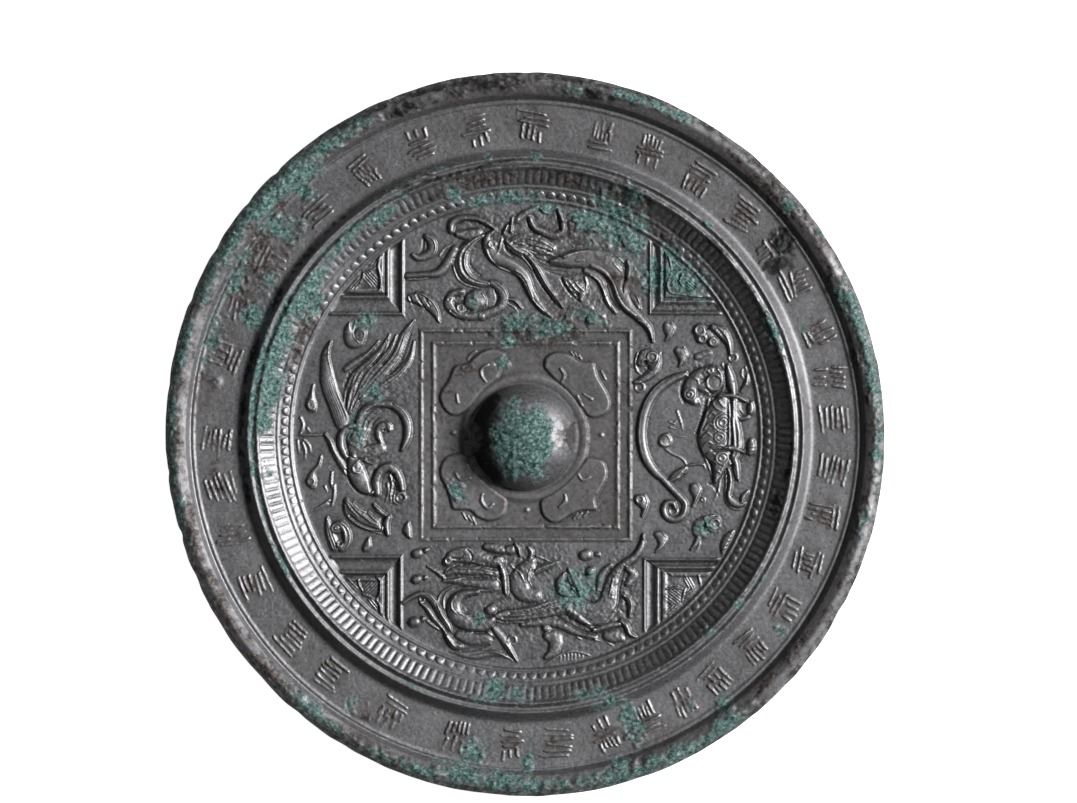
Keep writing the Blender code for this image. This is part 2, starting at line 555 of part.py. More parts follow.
# The small clouds that fill the field between the creatures.
CLOUD_STROKES = {
    "cloud_hook": [
        (-22.5, 51, 0.3), (-24.6, 49.6, 0.8), (-22.8, 47.6, 1.1), (-23.8, 45.2, 1.1),
        (-28.2, 44.8, 0.7),
    ],
    "cloud_scroll": [
        (-20, 34.6, 0.7), (-18.8, 31.4, 1.1), (-14.6, 29.4, 1.0), (-8.6, 30.6, 1.0), (-4.9, 34.5, 1.2),
        (-7.4, 38.3, 0.7),
    ],
    "cloud_comma_0": [(-27.5, 35.6, 0.6), (-24.4, 34.7, 1.1), (-22.2, 31.8, 1.0), (-21.5, 28.4, 0.3)],
    "cloud_comma_1": [(26, 34.8, 0.5), (28.4, 34.4, 0.9), (29.1, 31.7, 0.4)],
    "cloud_comma_2": [(34.4, 26, 0.4), (35.4, 27.9, 0.7), (37.1, 26.8, 0.9), (35.7, 24, 0.3)],
    "cloud_comma_3": [(37.2, 20.8, 0.4), (38.4, 22, 0.7), (40, 20.4, 0.9), (38.8, 17.5, 0.3)],
    "cloud_comma_4": [
        (28.6, 16.6, 0.7), (29.6, 20.2, 1.1), (32.9, 19.6, 1.2), (31.6, 15.6, 0.9), (28.4, 12.8, 0.4),
    ],
    "cloud_comma_5": [(27.4, -16.5, 0.5), (29, -15.3, 0.8), (30.4, -17.2, 0.9), (29.3, -20.5, 0.3)],
    "cloud_comma_6": [(32.2, -25.5, 0.4), (33.8, -24.5, 0.7), (35.1, -26, 0.9), (33, -29.3, 0.3)],
    "cloud_comma_7": [(42, -13, 0.6), (43.5, -13.4, 1.1), (42.4, -17.4, 0.3)],
    "cloud_comma_8": [(-53, 12, 0.3), (-54.4, 9, 0.6), (-53.6, 7, 1.2)],
    "cloud_comma_9": [(-51.4, -5.6, 0.3), (-53.2, -9, 0.6), (-53.8, -11.8, 1.1)],
    "cloud_hood": [
        (43.4, 25.2, 0.6), (44, 27.4, 0.8), (48, 27.1, 1.3), (50.5, 25, 1.4), (51.3, 20.8, 0.4),
    ],
    "cloud_loop": [(-42.8, 28.4, 0.4), (-44.4, 25, 0.9), (-44.4, 22, 0.9), (-42.8, 21.4, 0.4)],
    "cloud_spiral": [
        (-50, -21, 0.4), (-47.4, -22, 0.9), (-44.4, -24, 1.2), (-44.8, -27.8, 1.1), (-47.4, -28.4, 0.8),
    ],
    "cloud_tassel": [(44, -20.8, 0.5), (43, -23, 1.0), (44.2, -25.6, 0.9), (43, -28.4, 0.4)],
}
CLOUD_BEADS = {
    "cloud_pearl": (-12.3, 33.4, 2.2, 2.2, 0, 1.4),
    "cloud_bead_0": (-16.5, 32.4, 1.2, 1.0, 0, 0.8),
    "cloud_bead_1": (16.6, 29, 1.3, 1.3, 0, 0.9),
    "cloud_bead_2": (28.6, 12, 1.4, 0.8, 0, 0.6),
    "cloud_bead_3": (-41.4, 25.2, 1.4, 1.4, 0, 0.8),
    "cloud_bead_4": (-47.2, -23.6, 1.3, 1.3, 0, 0.9),
    "cloud_bead_5": (47.3, -22, 1.6, 1.9, 0, 0.9),
    "cloud_bead_6": (15.2, -30.4, 1.5, 1.4, 0, 0.9),
    "cloud_bead_7": (16, -34, 1.1, 1.0, 0, 0.7),
    "cloud_bead_8": (-26.4, -29.4, 1.9, 1.1, 20, 0.8),
    "cloud_bead_9": (-26.6, -36.2, 1.8, 1.2, 0, 0.8),
    "cloud_bead_10": (-28.1, -47.3, 1.6, 1.3, 20, 0.9),
    "cloud_bead_11": (-39.9, -27.6, 1.1, 1.5, 0, 0.8),
    "cloud_bead_12": (-29.3, -24, 1.3, 1.7, 30, 0.7),
    "cloud_bead_13": (50.4, -27, 2.9, 1.0, 70, 0.7),
}


def lobe_outline(quarter):
    """The scalloped outline of one cloud lobe, from its two rounds back to the boss."""
    outline = []
    for x, y, begin, end in LOBE_ROUNDS:
        for step in range(LOBE_STEPS + 1):
            angle = math.radians(begin + (end - begin) * step / LOBE_STEPS)
            reach = Vector((math.cos(angle), math.sin(angle))) * LOBE_ROUND_RADIUS
            outline.append(Vector((x, y)) + reach)
    outline.insert(LOBE_STEPS + 1, Vector(LOBE_CUSP))
    foot = (BOSS_RADIUS + BOSS_RING_WIDTH - LOBE_OVERLAP) / UNIT
    for degrees in LOBE_FOOT_ANGLES:
        angle = math.radians(degrees)
        outline.append(Vector((foot * math.cos(angle), foot * math.sin(angle))))
    turn = Matrix.Rotation(math.pi / 2 * quarter, 2)
    return [tuple(turn @ point * UNIT) for point in outline]


def build_relief(group):
    """Everything that stands up from the turned disc."""
    comb_teeth(group)
    stroke_groups(group)
    double_lines("square", SQUARE_HALF_WIDTH, group)
    for quarter in range(4):
        corner_bracket(quarter, group)
        bracket_leaf(quarter, group)
        plate(f"lobe_{quarter}", lobe_outline(quarter), LOBE_RISE, group)
    for strokes in (BEAST_STROKES, DRAGON_STROKES, BIRD_STROKES, TORTOISE_STROKES, CLOUD_STROKES):
        for name, marks in strokes.items():
            ridge(name, marks, group)
    for beads in (BEAST_BEADS, DRAGON_BEADS, BIRD_BEADS, TORTOISE_BEADS, CLOUD_BEADS):
        for name, sizes in beads.items():
            bead(name, *sizes, group)


def build_boss(group):
    """The domed boss and the low ring at its foot."""
    place = Matrix.Translation((*BOSS_CENTRE, FIELD_HEIGHT))
    profile = []
    for row in range(BOSS_ROWS + 1):
        angle = math.pi / 2 * (1 - row / BOSS_ROWS)
        profile.append((BOSS_RADIUS * math.cos(angle), BOSS_HEIGHT * math.sin(angle)))
    profile[0] = (0.0, BOSS_HEIGHT)
    profile.append((BOSS_RADIUS, -BOSS_ROOT))
    profile.append((0.0, -BOSS_ROOT))
    dome = turned("boss_dome", profile, BOSS_FACETS, group)
    dome.matrix_world = place
    radius = BOSS_RADIUS + BOSS_RING_WIDTH
    foot = [(0.0, BOSS_RING_RISE), (radius, BOSS_RING_RISE)]
    foot += [(radius, -BOSS_RING_ROOT), (0.0, -BOSS_RING_ROOT)]
    ring = turned("boss_ring", foot, BOSS_FACETS, group)
    ring.matrix_world = place


def cord_hole_cutter(group):
    """An arched bar along X, longer than the boss is wide, that cuts the cord hole."""
    half = CORD_HOLE_WIDTH / 2
    curve = bpy.data.curves.new("cord_hole", "CURVE")
    curve.dimensions = "2D"
    curve.fill_mode = "BOTH"
    curve.extrude = BOSS_RADIUS + BOSS_RING_WIDTH + CORD_HOLE_HEIGHT
    outline = [(-half, 0.0), (half, 0.0)]
    for step in range(ARCH_FACETS + 1):
        angle = math.pi * step / ARCH_FACETS
        outline.append((half * math.cos(angle), CORD_HOLE_HEIGHT - half + half * math.sin(angle)))
    spline = curve.splines.new("POLY")
    spline.points.add(len(outline) - 1)
    for point, (across, up) in zip(spline.points, outline):
        point.co = (across, up, 0.0, 1.0)
    spline.use_cyclic_u = True
    stand = Matrix.Rotation(math.pi / 2, 4, "Z") @ Matrix.Rotation(math.pi / 2, 4, "X")
    place = Matrix.Translation((*BOSS_CENTRE, FIELD_HEIGHT + CORD_HOLE_FLOOR))
    return meshed(curve, place @ stand, group)


def join_pieces(disc, group, kind, name):
    """A Boolean of the disc with every object of a group."""
    step = disc.modifiers.new(name, "BOOLEAN")
    step.operation = kind
    step.operand_type = "COLLECTION"
    step.collection = group
    step.solver = "EXACT"
    step.use_self = kind == "UNION"


def hide_guides(*groups):
    """The operands of the Booleans aren't parts of the mirror."""
    for group in groups:
        for guide in group.objects:
            guide.hide_render = True
            guide.display_type = "WIRE"


def shade(piece):
    """Smooth shading that keeps the sharp edges of the casting."""
    piece.data.shade_smooth()
    piece.data.set_sharp_from_angle(angle=math.radians(30))


def build_mirror():
    """The whole casting as one solid."""
    clear_scene()
    parts = new_collection("bronze_mirror")
    relief = new_collection("relief_guides")
    cutters = new_collection("cutters")
    disc = turned("mirror", disc_profile(), BODY_FACETS, parts)
    disc.data.materials.append(bronze_material())
    build_boss(relief)
    build_relief(relief)
    cord_hole_cutter(cutters)
    join_pieces(disc, relief, "UNION", "relief")
    join_pieces(disc, cutters, "DIFFERENCE", "cord_hole")
    hide_guides(relief, cutters)
    shade(disc)


build_mirror()
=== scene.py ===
import math
import random

import bmesh
import bpy
import numpy as np
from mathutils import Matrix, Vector


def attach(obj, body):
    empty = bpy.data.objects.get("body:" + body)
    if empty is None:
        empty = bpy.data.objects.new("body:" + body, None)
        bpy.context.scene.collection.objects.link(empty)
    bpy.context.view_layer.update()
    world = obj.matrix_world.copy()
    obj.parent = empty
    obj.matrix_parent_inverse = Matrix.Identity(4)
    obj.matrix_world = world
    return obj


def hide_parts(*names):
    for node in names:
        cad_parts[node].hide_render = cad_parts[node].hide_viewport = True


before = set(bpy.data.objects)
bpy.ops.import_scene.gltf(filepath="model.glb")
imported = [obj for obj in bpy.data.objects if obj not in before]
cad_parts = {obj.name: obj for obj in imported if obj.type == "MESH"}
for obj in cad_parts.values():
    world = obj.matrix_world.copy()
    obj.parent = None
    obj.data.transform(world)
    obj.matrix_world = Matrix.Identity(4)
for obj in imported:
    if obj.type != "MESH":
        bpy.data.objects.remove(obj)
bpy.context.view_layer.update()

# The rim. It is the outermost ring of the one bronze casting, thick and round on top,
# turned with the template that shaped the rings of the whole back. Its outer edge is
# worn and chipped, and green crust sits along its crown.
MM = 0.001
RIM_FOOT, RIM_EDGE = 84.1, 90.1
RIM_ROWS, RIM_COLUMNS = 28, 1400

# The template as radius and height in mm. The first is the floor in the middle.
TEMPLATE = (
    (0, 2.6), (57.6, 2.6), (58.4, 2.7), (58.95, 3.25), (59.4, 3.05), (59.9, 3.1), (60.9, 3.65), (61.7, 3.8),
    (62.2, 4.12), (62.7, 4.02), (66.2, 5.85), (66.8, 6.6), (67.35, 6.8), (67.8, 6.35), (68.3, 6.05), (68.75, 6.2),
    (69.25, 6.72), (69.65, 6.6), (71.3, 4.65), (71.9, 4.27), (72.6, 4.2), (82.75, 4.2), (83.3, 4.5), (83.75, 4.3),
    (84, 4.25), (84.2, 4.45), (85, 5.95), (86, 6.4), (87.1, 6.8), (87.5, 6.86), (88, 6.76), (88.8, 6.4),
    (89.5, 5.8), (90.1, 5),
)
FLOOR_HEIGHT = TEMPLATE[0][1]
EDGE_ROUNDING = 0.14

# The wall below the rim's edge, as radius and height.
EDGE_WALL = ((90.15, 4.6), (90.1, 3.4), (89.98, 2.2), (89.85, 1.1), (89.6, 0.35), (89.2, 0.0))
WALL_UNEVENNESS = 0.07

# The edge isn't quite round: how many waves go round it, their height in mm and the angle
# of their first crest in radians, then chips: angle in degrees, depth in mm, width in degrees.
OUT_OF_ROUND = ((1, 0.25, 1.92), (2, 0.4, 1.955))
EDGE_SPREAD, EDGE_MOTTLE = 0.2, 0.14
SPREAD_START, SPREAD_WIDTH = 84.5, 5.6
CHIPS = (
    (196, .55, 1), (203.5, .3, 1.8), (222, .35, 2.2), (230.5, .3, 1.6), (172, .2, 1.2), (331, .2, 2), (140, .3, .9),
    (133.5, .3, .7), (149, .35, 1.1), (158, .25, .8), (112, .2, 1), (186, .3, .7),
)

# Chance values that every uneven thing on the mirror is read from.
SHADE_CELLS, SHADE_START = 256, 900.0
SHADES = np.random.default_rng(31).uniform(-1.0, 1.0, (SHADE_CELLS, SHADE_CELLS))


def mottle(x, y, size, shift=0.0):
    """Smooth chance values from -1 to 1, each spot about this many mm wide."""
    u, v = x / size + SHADE_START + shift, y / size + SHADE_START + 1.7 * shift
    i, j = np.floor(u).astype(int), np.floor(v).astype(int)
    fu, fv = u - i, v - j
    fu, fv = fu * fu * (3 - 2 * fu), fv * fv * (3 - 2 * fv)
    i, j, k, m = i % SHADE_CELLS, j % SHADE_CELLS, (i + 1) % SHADE_CELLS, (j + 1) % SHADE_CELLS
    near = SHADES[i, j] * (1 - fu) + SHADES[k, j] * fu
    far = SHADES[i, m] * (1 - fu) + SHADES[k, m] * fu
    return near * (1 - fv) + far * fv


def lumps(x, y, waves, start=0.0):
    """Mottling of several sizes added to a start, all in mm: spot, height and shift."""
    return sum((height * mottle(x, y, size, shift) for size, height, shift in waves), start)


def fade_in(distance, width):
    """0 up to no distance, 1 beyond the width, and even between."""
    return np.clip(distance / width, 0.0, 1.0)


def full_turn(columns):
    """Angles right round the mirror, evenly spaced."""
    return np.arange(columns) / columns * 2 * math.pi


def turned_from(angle, middle):
    """The angle on from a middle one, within half a turn either way."""
    return np.arctan2(np.sin(angle - middle), np.cos(angle - middle))


def turned_height(radius):
    """The template's height in mm at this radius, its corners rounded as in a casting."""
    r, z = zip(*TEMPLATE)
    taps = (-EDGE_ROUNDING, 0.0, EDGE_ROUNDING)
    return sum(np.interp(np.abs(radius + tap), r, z) for tap in taps) / len(taps)


# Corrosion patches on the back, and among the black ones painted shadow: angle, radius, half length along, half
# width, strength.
GREEN_PATCHES = (
    (155, 88, 6, 1.6, .8), (147, 87.8, 8, 1.8, .8), (138, 87.6, 9, 2.2, 1), (131, 87, 8, 3, 1), (125, 88, 8, 2, .9),
    (140, 82, 3, 3.5, .8), (132, 82.5, 2, 3, .9), (156.5, 74, 2.8, 2.6, 1.1), (158, 81.5, 2, 2.5, .4),
    (175, 69.3, 12, .6, .6), (165, 69.3, 10, .6, .6), (172, 65.5, 7, 1.8, .8), (165, 65, 6, 1.8, .7),
    (149, 65, 6, 2.2, .9), (144, 65.5, 5, 2.2, 1), (135, 66.5, 8, 1.6, .7), (127, 66.8, 9, 1.4, .8),
    (122, 66, 5, 2, .8), (149, 61.5, 4, 1.6, .8), (118, 88, 4, 1.6, .6), (73, 88.5, 4, 1.2, 1),
    (68, 88.5, 4, 1, .8), (64.5, 88.7, 3, 1.2, 1), (82, 87, 2, 1.5, .5), (117.5, 69.8, 4, .7, .6),
    (110, 70, 4, .7, .6), (98, 70, 1.2, .8, .8), (87.7, 69.7, 1.5, 1, .9), (106.5, 62.8, 2, 1.8, 1),
    (101, 60, 3.5, 1.2, .9), (93, 59.6, 5, 1.4, 1), (88, 60, 2, 1.1, .7), (84, 56.8, 4, 1.6, .9),
    (71, 62, 3, 3.5, .8), (68, 60, 4, 3, .9), (66, 66, 3, 3, .5), (62, 59, 3, 3, .9), (50, 58.5, 5, 2.4, .9),
    (46, 57, 4, 2, .8), (49, 70, 1.5, .8, .8), (41, 87.3, 1.8, 2, .9), (34.5, 89.6, 2, .6, .6),
    (23, 86.6, 3, 2.2, 1), (17, 88, 5, 1.4, .7), (12, 88, 4, 1.6, .8), (8, 87.6, 4, 1.4, .8), (2, 89, 4, 1, .4),
    (23, 67.2, 5, 1.2, 1), (21, 74.6, 1.5, 1, .5), (356.5, 87.3, 1.5, 1.2, .7), (348, 88, 1, 1.2, .4),
    (305, 88, 5, 2, 1), (301, 88.3, 3, 1.5, .8), (306, 84, 2.5, 2, .9), (328, 68.8, 2, 1.2, .7),
    (321.5, 68.3, 2, 1.4, .8), (312.5, 67.3, 2, 1.5, .7), (322.5, 80.5, 1.2, 2, .6), (301.5, 79, 2, 2, .3),
    (296, 88.3, 6, 2, .8), (290, 88.3, 7, 2, .9), (284, 88, 7, 2.4, .9), (286, 86, 5, 2, .8), (272, 87.5, 7, 2, .8),
    (266, 87, 6, 2.5, .9), (260, 86, 5, 2.5, 1), (253, 88, 6, 1.8, .7), (246, 88, 6, 1.4, .6),
    (260.5, 80.5, 2.5, 3.4, 1), (270.5, 82, 1.5, 3, .8), (290.5, 76, 2.4, 5, .9), (256, 85, 2.5, 1.6, .8),
    (287.5, 70, 3, 1.4, .9), (284, 66.5, 4, 1.6, .8), (268, 65, 3, 2.2, .8), (263, 64, 3, 3, 1),
    (259, 66.8, 4, 1, .6), (246, 69, 6, .6, .5), (237, 88, 4, 1.6, .6), (231, 87.2, 5, 2, .9),
    (237, 80, 1.5, 3.4, .6), (191, 88.3, 1.6, 1.2, .8), (197, 88, 2, .8, .4), (208, 89, 2, .5, .4),
    (207, 69, 5, .8, .9), (186, 69, 7, .6, .6), (189, 65.5, 2, 1.8, .5), (144.4, 49.1, 3, 2.4, .7),
    (163.9, 40, 2.6, 2.6, .7), (178.4, 41.5, 4, 3, .7), (111.7, 35.6, 1.6, 1.6, .9), (95, 28, 5, 2, .9),
    (84, 26, 5, 2, .7), (108, 19, 1.6, 1.6, .9), (219, 22, 3, 1.6, .9), (66.8, 56.8, 7, 5, .84),
    (60.6, 55.4, 4, 4.6, .92), (73, 56.5, 6, 3, .85), (45.4, 55.4, 6, 5, .9), (256, 47.6, 1.2, 1.8, .8),
    (50, 52, 5, 4, .9), (288.4, 41.1, 6, 5, .8), (332.9, 50, 2.4, 2.4, .8), (166, 88.6, 9, 1.5, .9),
    (177, 88.8, 8, 1.2, .8), (186, 88.8, 7, 1.2, .8), (195, 88.6, 5, 1.2, .7), (170, 68.3, 16, .8, 1),
    (182, 68.3, 10, .7, .8), (193, 68.2, 8, .6, .7), (160, 66, 9, 2.4, 1.1), (169, 65, 7, 2.6, 1.1),
    (176, 65.5, 4, 2, 1), (152, 67, 6, 1.6, 1), (20, 88.3, 8, 1.6, .9), (10, 88.4, 8, 1.5, .8),
    (358, 88.5, 8, 1.2, .7), (345, 87.5, 6, 1, .6), (151, 82.5, 8, 2, .62), (163, 82, 6, 2.4, .58),
    (139, 78, 4, 3, .55), (150, 75, 3, 2, .55), (74, 28.5, 5, 2.2, .85), (62, 34, 5, 2, .7), (100, 24, 2, 2, .7),
)
BROWN_PATCHES = (
    (149, 81, 5, 3.5, .9), (144.5, 81.5, 4, 3.5, .9), (137, 84, 3, 1.5, .8), (131, 84.5, 2, 2.5, .7),
    (131.8, 21.8, 2.4, 2, 1), (30, 65, 28, 2.2, .36), (66, 65, 6, 2.4, .9), (223, 88.5, 6, 1.2, .7),
    (218, 89.3, 6, 1, .7), (262, 88, 3, 1.5, .6), (95, 88, 14, 2, .7), (100, 66, 10, 2, .5), (350, 66, 10, 2, .5),
    (240, 80, 5, 3, .5), (172, 80, 6, 4, .5), (45, 86, 22, 1.4, .8), (25, 86, 12, 1, .7), (120, 87.5, 12, 2, .7),
    (345, 86, 22, 1.2, .7), (320, 86, 20, 1.3, .8), (152, 61, 8, 2, .9), (160, 61, 6, 1.6, .8), (154, 78, 5, 4, .7),
    (163, 79, 5, 4, .5), (225, 79, 8, 4, .4), (186, 79, 6, 3, .4), (205, 89, 12, 1.2, .6), (240, 89, 14, 1.2, .6),
    (55, 60.5, 10, 2, .5), (100, 64.8, 16, 2.2, .66), (124, 64, 7, 1.6, .6), (88, 25.4, 8, 3.2, 1),
    (100, 27, 6, 2.6, .8), (82, 64.5, 10, 2, .66), (56, 62, 12, 2, .6), (98, 70.6, 20, .8, .4),
    (145, 78, 12, 4, .64), (292, 80, 12, 5, .4), (15, 84.9, 16, .8, .6), (58, 78, 26, 5, .3), (95, 78, 22, 5, .34),
    (40, 88.4, 22, 1.3, .75), (8, 86, 10, 1, .6), (197, 87.2, 9, 1.5, .85), (210, 87.3, 9, 1.6, .9),
    (223, 87.3, 9, 1.6, .85), (236, 87.3, 9, 1.6, .8), (180, 87.2, 9, 1.2, .75), (222, 85.4, 12, .6, .6),
    (76, 27.6, 9, 3, .9), (68, 33, 8, 3, .7), (72, 52, 9, 4, .7), (58, 46, 6, 5, .6),
)
BLACK_AND_SHADOW_PATCHES = (
    (36.5, 80.5, 3.2, 2.4, 1.1), (34, 76.5, 2.2, 3.2, 1.1), (38, 82.4, 2.2, 1.2, .9), (66, 66, 5, 2, .7),
    (96, 88, 10, 1.6, .8), (110, 87, 8, 1.6, .8), (79, 87, 8, 1.6, .75), (122, 87, 6, 1.4, .6), (92, 66, 8, 1, .5),
    (29, 67, 6, .7, .7), (45, 67.2, 4, .6, .7), (345, 65, 4, 1.4, .8), (112, 63.8, 6, 1.2, .6),
    (84, 66.4, 10, .8, .55), (104, 67.6, 16, .7, .7), (64, 63, 6, 1.6, .45), (20, 66, 10, 1, .6),
    # Painted shadow: black along the ridge's outer slope at radius 71, from 128 to 188 degrees, on the side away
    # from the key lamp.
    (350, 66, 9, 1, .6), (47, 88.6, 12, 1, .5), (128, 71, 8, .8, .5), (140, 71, 8, .9, .6), (152, 71, 8, .9, .65),
    (164, 71, 8, .9, .7), (176, 71, 8, .9, .7), (188, 71, 8, .9, .6),
)
GREEN_SHIFT, BROWN_SHIFT, BLACK_SHIFT = 0.0, 40.0, 80.0
PATCH_FALL, PATCH_UNEVENNESS = 0.7, 0.5


def growth(x, y, patches, shift):
    """How thickly a kind of corrosion covers each place, from 0 to 1, and painted shade where a patch stands for
    shadow.
    """
    total = np.zeros_like(x)
    for degrees, radius, along, across, strength in patches:
        c, s = math.cos(math.radians(degrees)), math.sin(math.radians(degrees))
        out, side = x * c + y * s - radius, y * c - x * s
        fall = np.exp(-PATCH_FALL * ((side / along) ** 2 + (out / across) ** 2))
        total = np.maximum(total, strength * fall)
    uneven = lumps(x, y, ((2.3, 0.5, shift), (1.1, 0.35, shift + 3)))
    return np.clip(total + PATCH_UNEVENNESS * uneven * np.clip(total * 3, 0.0, 1.0), 0.0, 1.0)


# Black grime and painted shade on the rim's outer bevel, the shade heaviest on the left, away
# from the key lamp, and brown soil all over the rim: where each starts, in mm from the middle,
# and how wide its soft edge is.
GRIME_AND_SHADE_START, GRIME_AND_SHADE_WIDTH = 88.3, 0.9
SOIL_START, SOIL_WIDTH = 84.2, 1.2
LEVEL = 0.5


def corroded(x, y):
    """The brown, black and green coats, with painted shade in the black, and the tone of hollows and crests at each
    place, as the material reads them.
    """
    radius = np.hypot(x, y)
    leftward = 0.5 - 0.5 * x / np.maximum(radius, 1.0)
    # Painted shade: the bevel's black grows towards the left, the side away from the key lamp.
    grime_and_shade = fade_in(radius - GRIME_AND_SHADE_START, GRIME_AND_SHADE_WIDTH) * (0.42 + 0.43 * leftward + 0.25 * mottle(x, y, 2.4, 97))
    soil = fade_in(radius - SOIL_START, SOIL_WIDTH) * (0.4 + 0.34 * mottle(x, y, 4.6, 91))
    return {
        "green": growth(x, y, GREEN_PATCHES, GREEN_SHIFT),
        "brown": np.maximum(growth(x, y, BROWN_PATCHES, BROWN_SHIFT), soil),
        "black": np.maximum(growth(x, y, BLACK_AND_SHADOW_PATCHES, BLACK_SHIFT), grime_and_shade),
        "shade_and_wear": np.full_like(x, LEVEL),
    }


# The cast skin's waves and the lumps of crust: spot, height, shift.
SKIN_WAVES = ((9.0, 0.05, 0), (2.6, 0.03, 7), (1.0, 0.012, 9), (0.5, 0.005, 4))
CRUST_WAVES = ((1.6, 0.27, 13), (0.8, 0.2, 17))
CRUST_THICKNESS = 0.12
CRUST_START, CRUST_RANGE = 0.38, 0.35
CRUST_SMOTHERS = 0.7
BLUR_CELLS, STAND_RANGE = 12, 0.55


def crusts(shades):
    """How much lumpy crust stands on the casting."""
    cover = shades["green"] + 0.6 * shades["black"] + 0.7 * shades["brown"]
    return fade_in(cover - CRUST_START, CRUST_RANGE)


def skin(x, y, crust):
    """The casting's own unevenness in mm, and lumps where crust has grown."""
    return lumps(x, y, SKIN_WAVES) + crust * lumps(x, y, CRUST_WAVES, CRUST_THICKNESS)


# Painted shade: the base colour is darkened in the hollows and lightened on the crests by this, standing for shade
# and dirt in the hollows and wear on the crests.
def standing_out(relief, close):
    """How far each place stands out of the surface round it: 0.5 where it is level."""
    soft = np.pad(relief, BLUR_CELLS, mode="wrap" if close else "edge")
    for axis in (0, 1) * BLUR_CELLS:
        soft = (np.roll(soft, 1, axis) + soft + np.roll(soft, -1, axis)) / 3
    soft = soft[BLUR_CELLS:-BLUR_CELLS, BLUR_CELLS:-BLUR_CELLS]
    return np.clip(LEVEL + (relief - soft) / STAND_RANGE, 0.0, 1.0)


def ring(inner, outer, rows, columns, relief=None):
    """A turned ring between two radii, with the relief that lies on it."""
    radii = inner + (outer - inner) / rows * np.arange(-1, rows + 2)
    radius, angle = np.meshgrid(radii, full_turn(columns), indexing="ij")
    wear = sum((height * np.cos(count * (angle - at)) for count, height, at in OUT_OF_ROUND), EDGE_SPREAD)
    wear += EDGE_MOTTLE * mottle(9 * np.cos(angle), 9 * np.sin(angle), 0.35)
    for degrees, depth, width in CHIPS:
        off = np.degrees(turned_from(angle, math.radians(degrees)))
        wear -= depth * np.exp(-((off / width) ** 2))
    spread = radius + wear * fade_in(radius - SPREAD_START, SPREAD_WIDTH)
    x, y = spread * np.cos(angle), spread * np.sin(angle)
    shades = corroded(x, y)
    crust = crusts(shades)
    z = turned_height(radius) + skin(x, y, crust)
    if relief:
        raised = relief(x, y, radius, angle) * (1.0 - CRUST_SMOTHERS * crust)
        shades["shade_and_wear"] = standing_out(raised, True)
        z = z + raised
    return x, y, z, shades


def add(name, data):
    """A new object in the scene."""
    thing = bpy.data.objects.new(name, data)
    bpy.context.scene.collection.objects.link(thing)
    return thing


def lay(x, y, z, name, close, shades, trim=True):
    """A smooth mesh of rows of places in mm, its outermost rows and columns trimmed."""

    def across(values):
        return np.roll(values, -1, 1) - np.roll(values, 1, 1) if close else np.gradient(values, axis=1)

    du = np.stack([across(values) for values in (x, y, z)], -1)
    dv = np.stack([np.gradient(values, axis=0) for values in (x, y, z)], -1)
    normal = np.cross(dv, du)
    normal /= np.linalg.norm(normal, axis=-1, keepdims=True) + 1e-12
    places = np.stack([x, y, z], -1)
    if trim:
        inner = (slice(1, -1), slice(None) if close else slice(1, -1))
        places, normal = places[inner], normal[inner]
        shades = {key: value[inner] for key, value in shades.items()}
    rows, columns = places.shape[:2]
    index = np.arange(rows * columns).reshape(rows, columns)
    right = np.roll(index, -1, 1) if close else index[:, 1:]
    left = index if close else index[:, :-1]
    quads = np.stack([left[:-1], left[1:], right[1:], right[:-1]], -1).reshape(-1, 4)
    if normal[..., 2].mean() < 0:
        normal = -normal
    corner = places.reshape(-1, 3)[quads[:columns]]
    facing = np.cross(corner[:, 1] - corner[:, 0], corner[:, 2] - corner[:, 0])[:, 2].mean()
    if facing < 0:
        quads = quads[:, ::-1]
    mesh = bpy.data.meshes.new(name)
    mesh.from_pydata((places.reshape(-1, 3) * MM).tolist(), [], quads.tolist())
    mesh.shade_smooth()
    mesh.normals_split_custom_set_from_vertices(normal.reshape(-1, 3).tolist())
    for key, value in shades.items():
        layer = mesh.attributes.new(key, "FLOAT", "POINT")
        layer.data.foreach_set("value", np.ascontiguousarray(value, np.float32).ravel())
    return add(name, mesh)


# The bronze's colours along a noise, as (place, colour), darkest first.
METAL = ((0.3, (0.205, 0.201, 0.21)), (0.52, (0.31, 0.306, 0.318)), (0.72, (0.42, 0.415, 0.428)))
SPECKLE = ((0.33, (0.14, 0.134, 0.138)), (0.5, (0.315, 0.31, 0.322)), (0.68, (0.47, 0.462, 0.475)))
# The base colour's factor from hollow to crest: painted shade and dirt darken the hollows, and worn crests are
# lighter.
HOLLOW_TO_CREST = ((0.12, (0.42, 0.41, 0.4)), (0.5, (0.85, 0.85, 0.85)), (0.8, (1.0, 1.0, 1.0)))
BROWN = ((0.34, (0.017, 0.014, 0.013)), (0.52, (0.08, 0.065, 0.06)), (0.7, (0.25, 0.215, 0.2)))
BLACK = ((0.35, (0.004, 0.004, 0.004)), (0.6, (0.02, 0.019, 0.018)), (0.8, (0.09, 0.086, 0.083)))
GREEN = (
    (0.34, (0.014, 0.034, 0.032)), (0.45, (0.055, 0.115, 0.106)), (0.56, (0.135, 0.24, 0.22)),
    (0.69, (0.38, 0.5, 0.46)),
)
METALLIC = 0.92
# The coats from the bottom up: key, colours, noise, softness of edge, roughness, metallic. The black one also
# carries painted shade.
COATS = (
    ("brown", BROWN, "crumb", 0.3, 0.66, 0.4), ("black", BLACK, "fine", 0.22, 0.6, 0.3),
    ("green", GREEN, "crumb", 0.26, 0.85, 0.08),
)
COAT_GAIN, COAT_EDGE = 2.4, 1.68
# Noises as scale, detail and roughness, and bumps as those and a depth in metres.
NOISES = {
    "fine": (1400.0, 6.0, 0.6), "broad": (90.0, 5.0, 0.6), "crumb": (1250.0, 4.0, 0.68), "grit": (700.0, 8.0, 0.72),
    "share": (420.0, 3.0, 0.6),
}
BUMPS = ((1100.0, 7.0, 0.66, 0.0001), (2400.0, 6.0, 0.65, 0.00007))


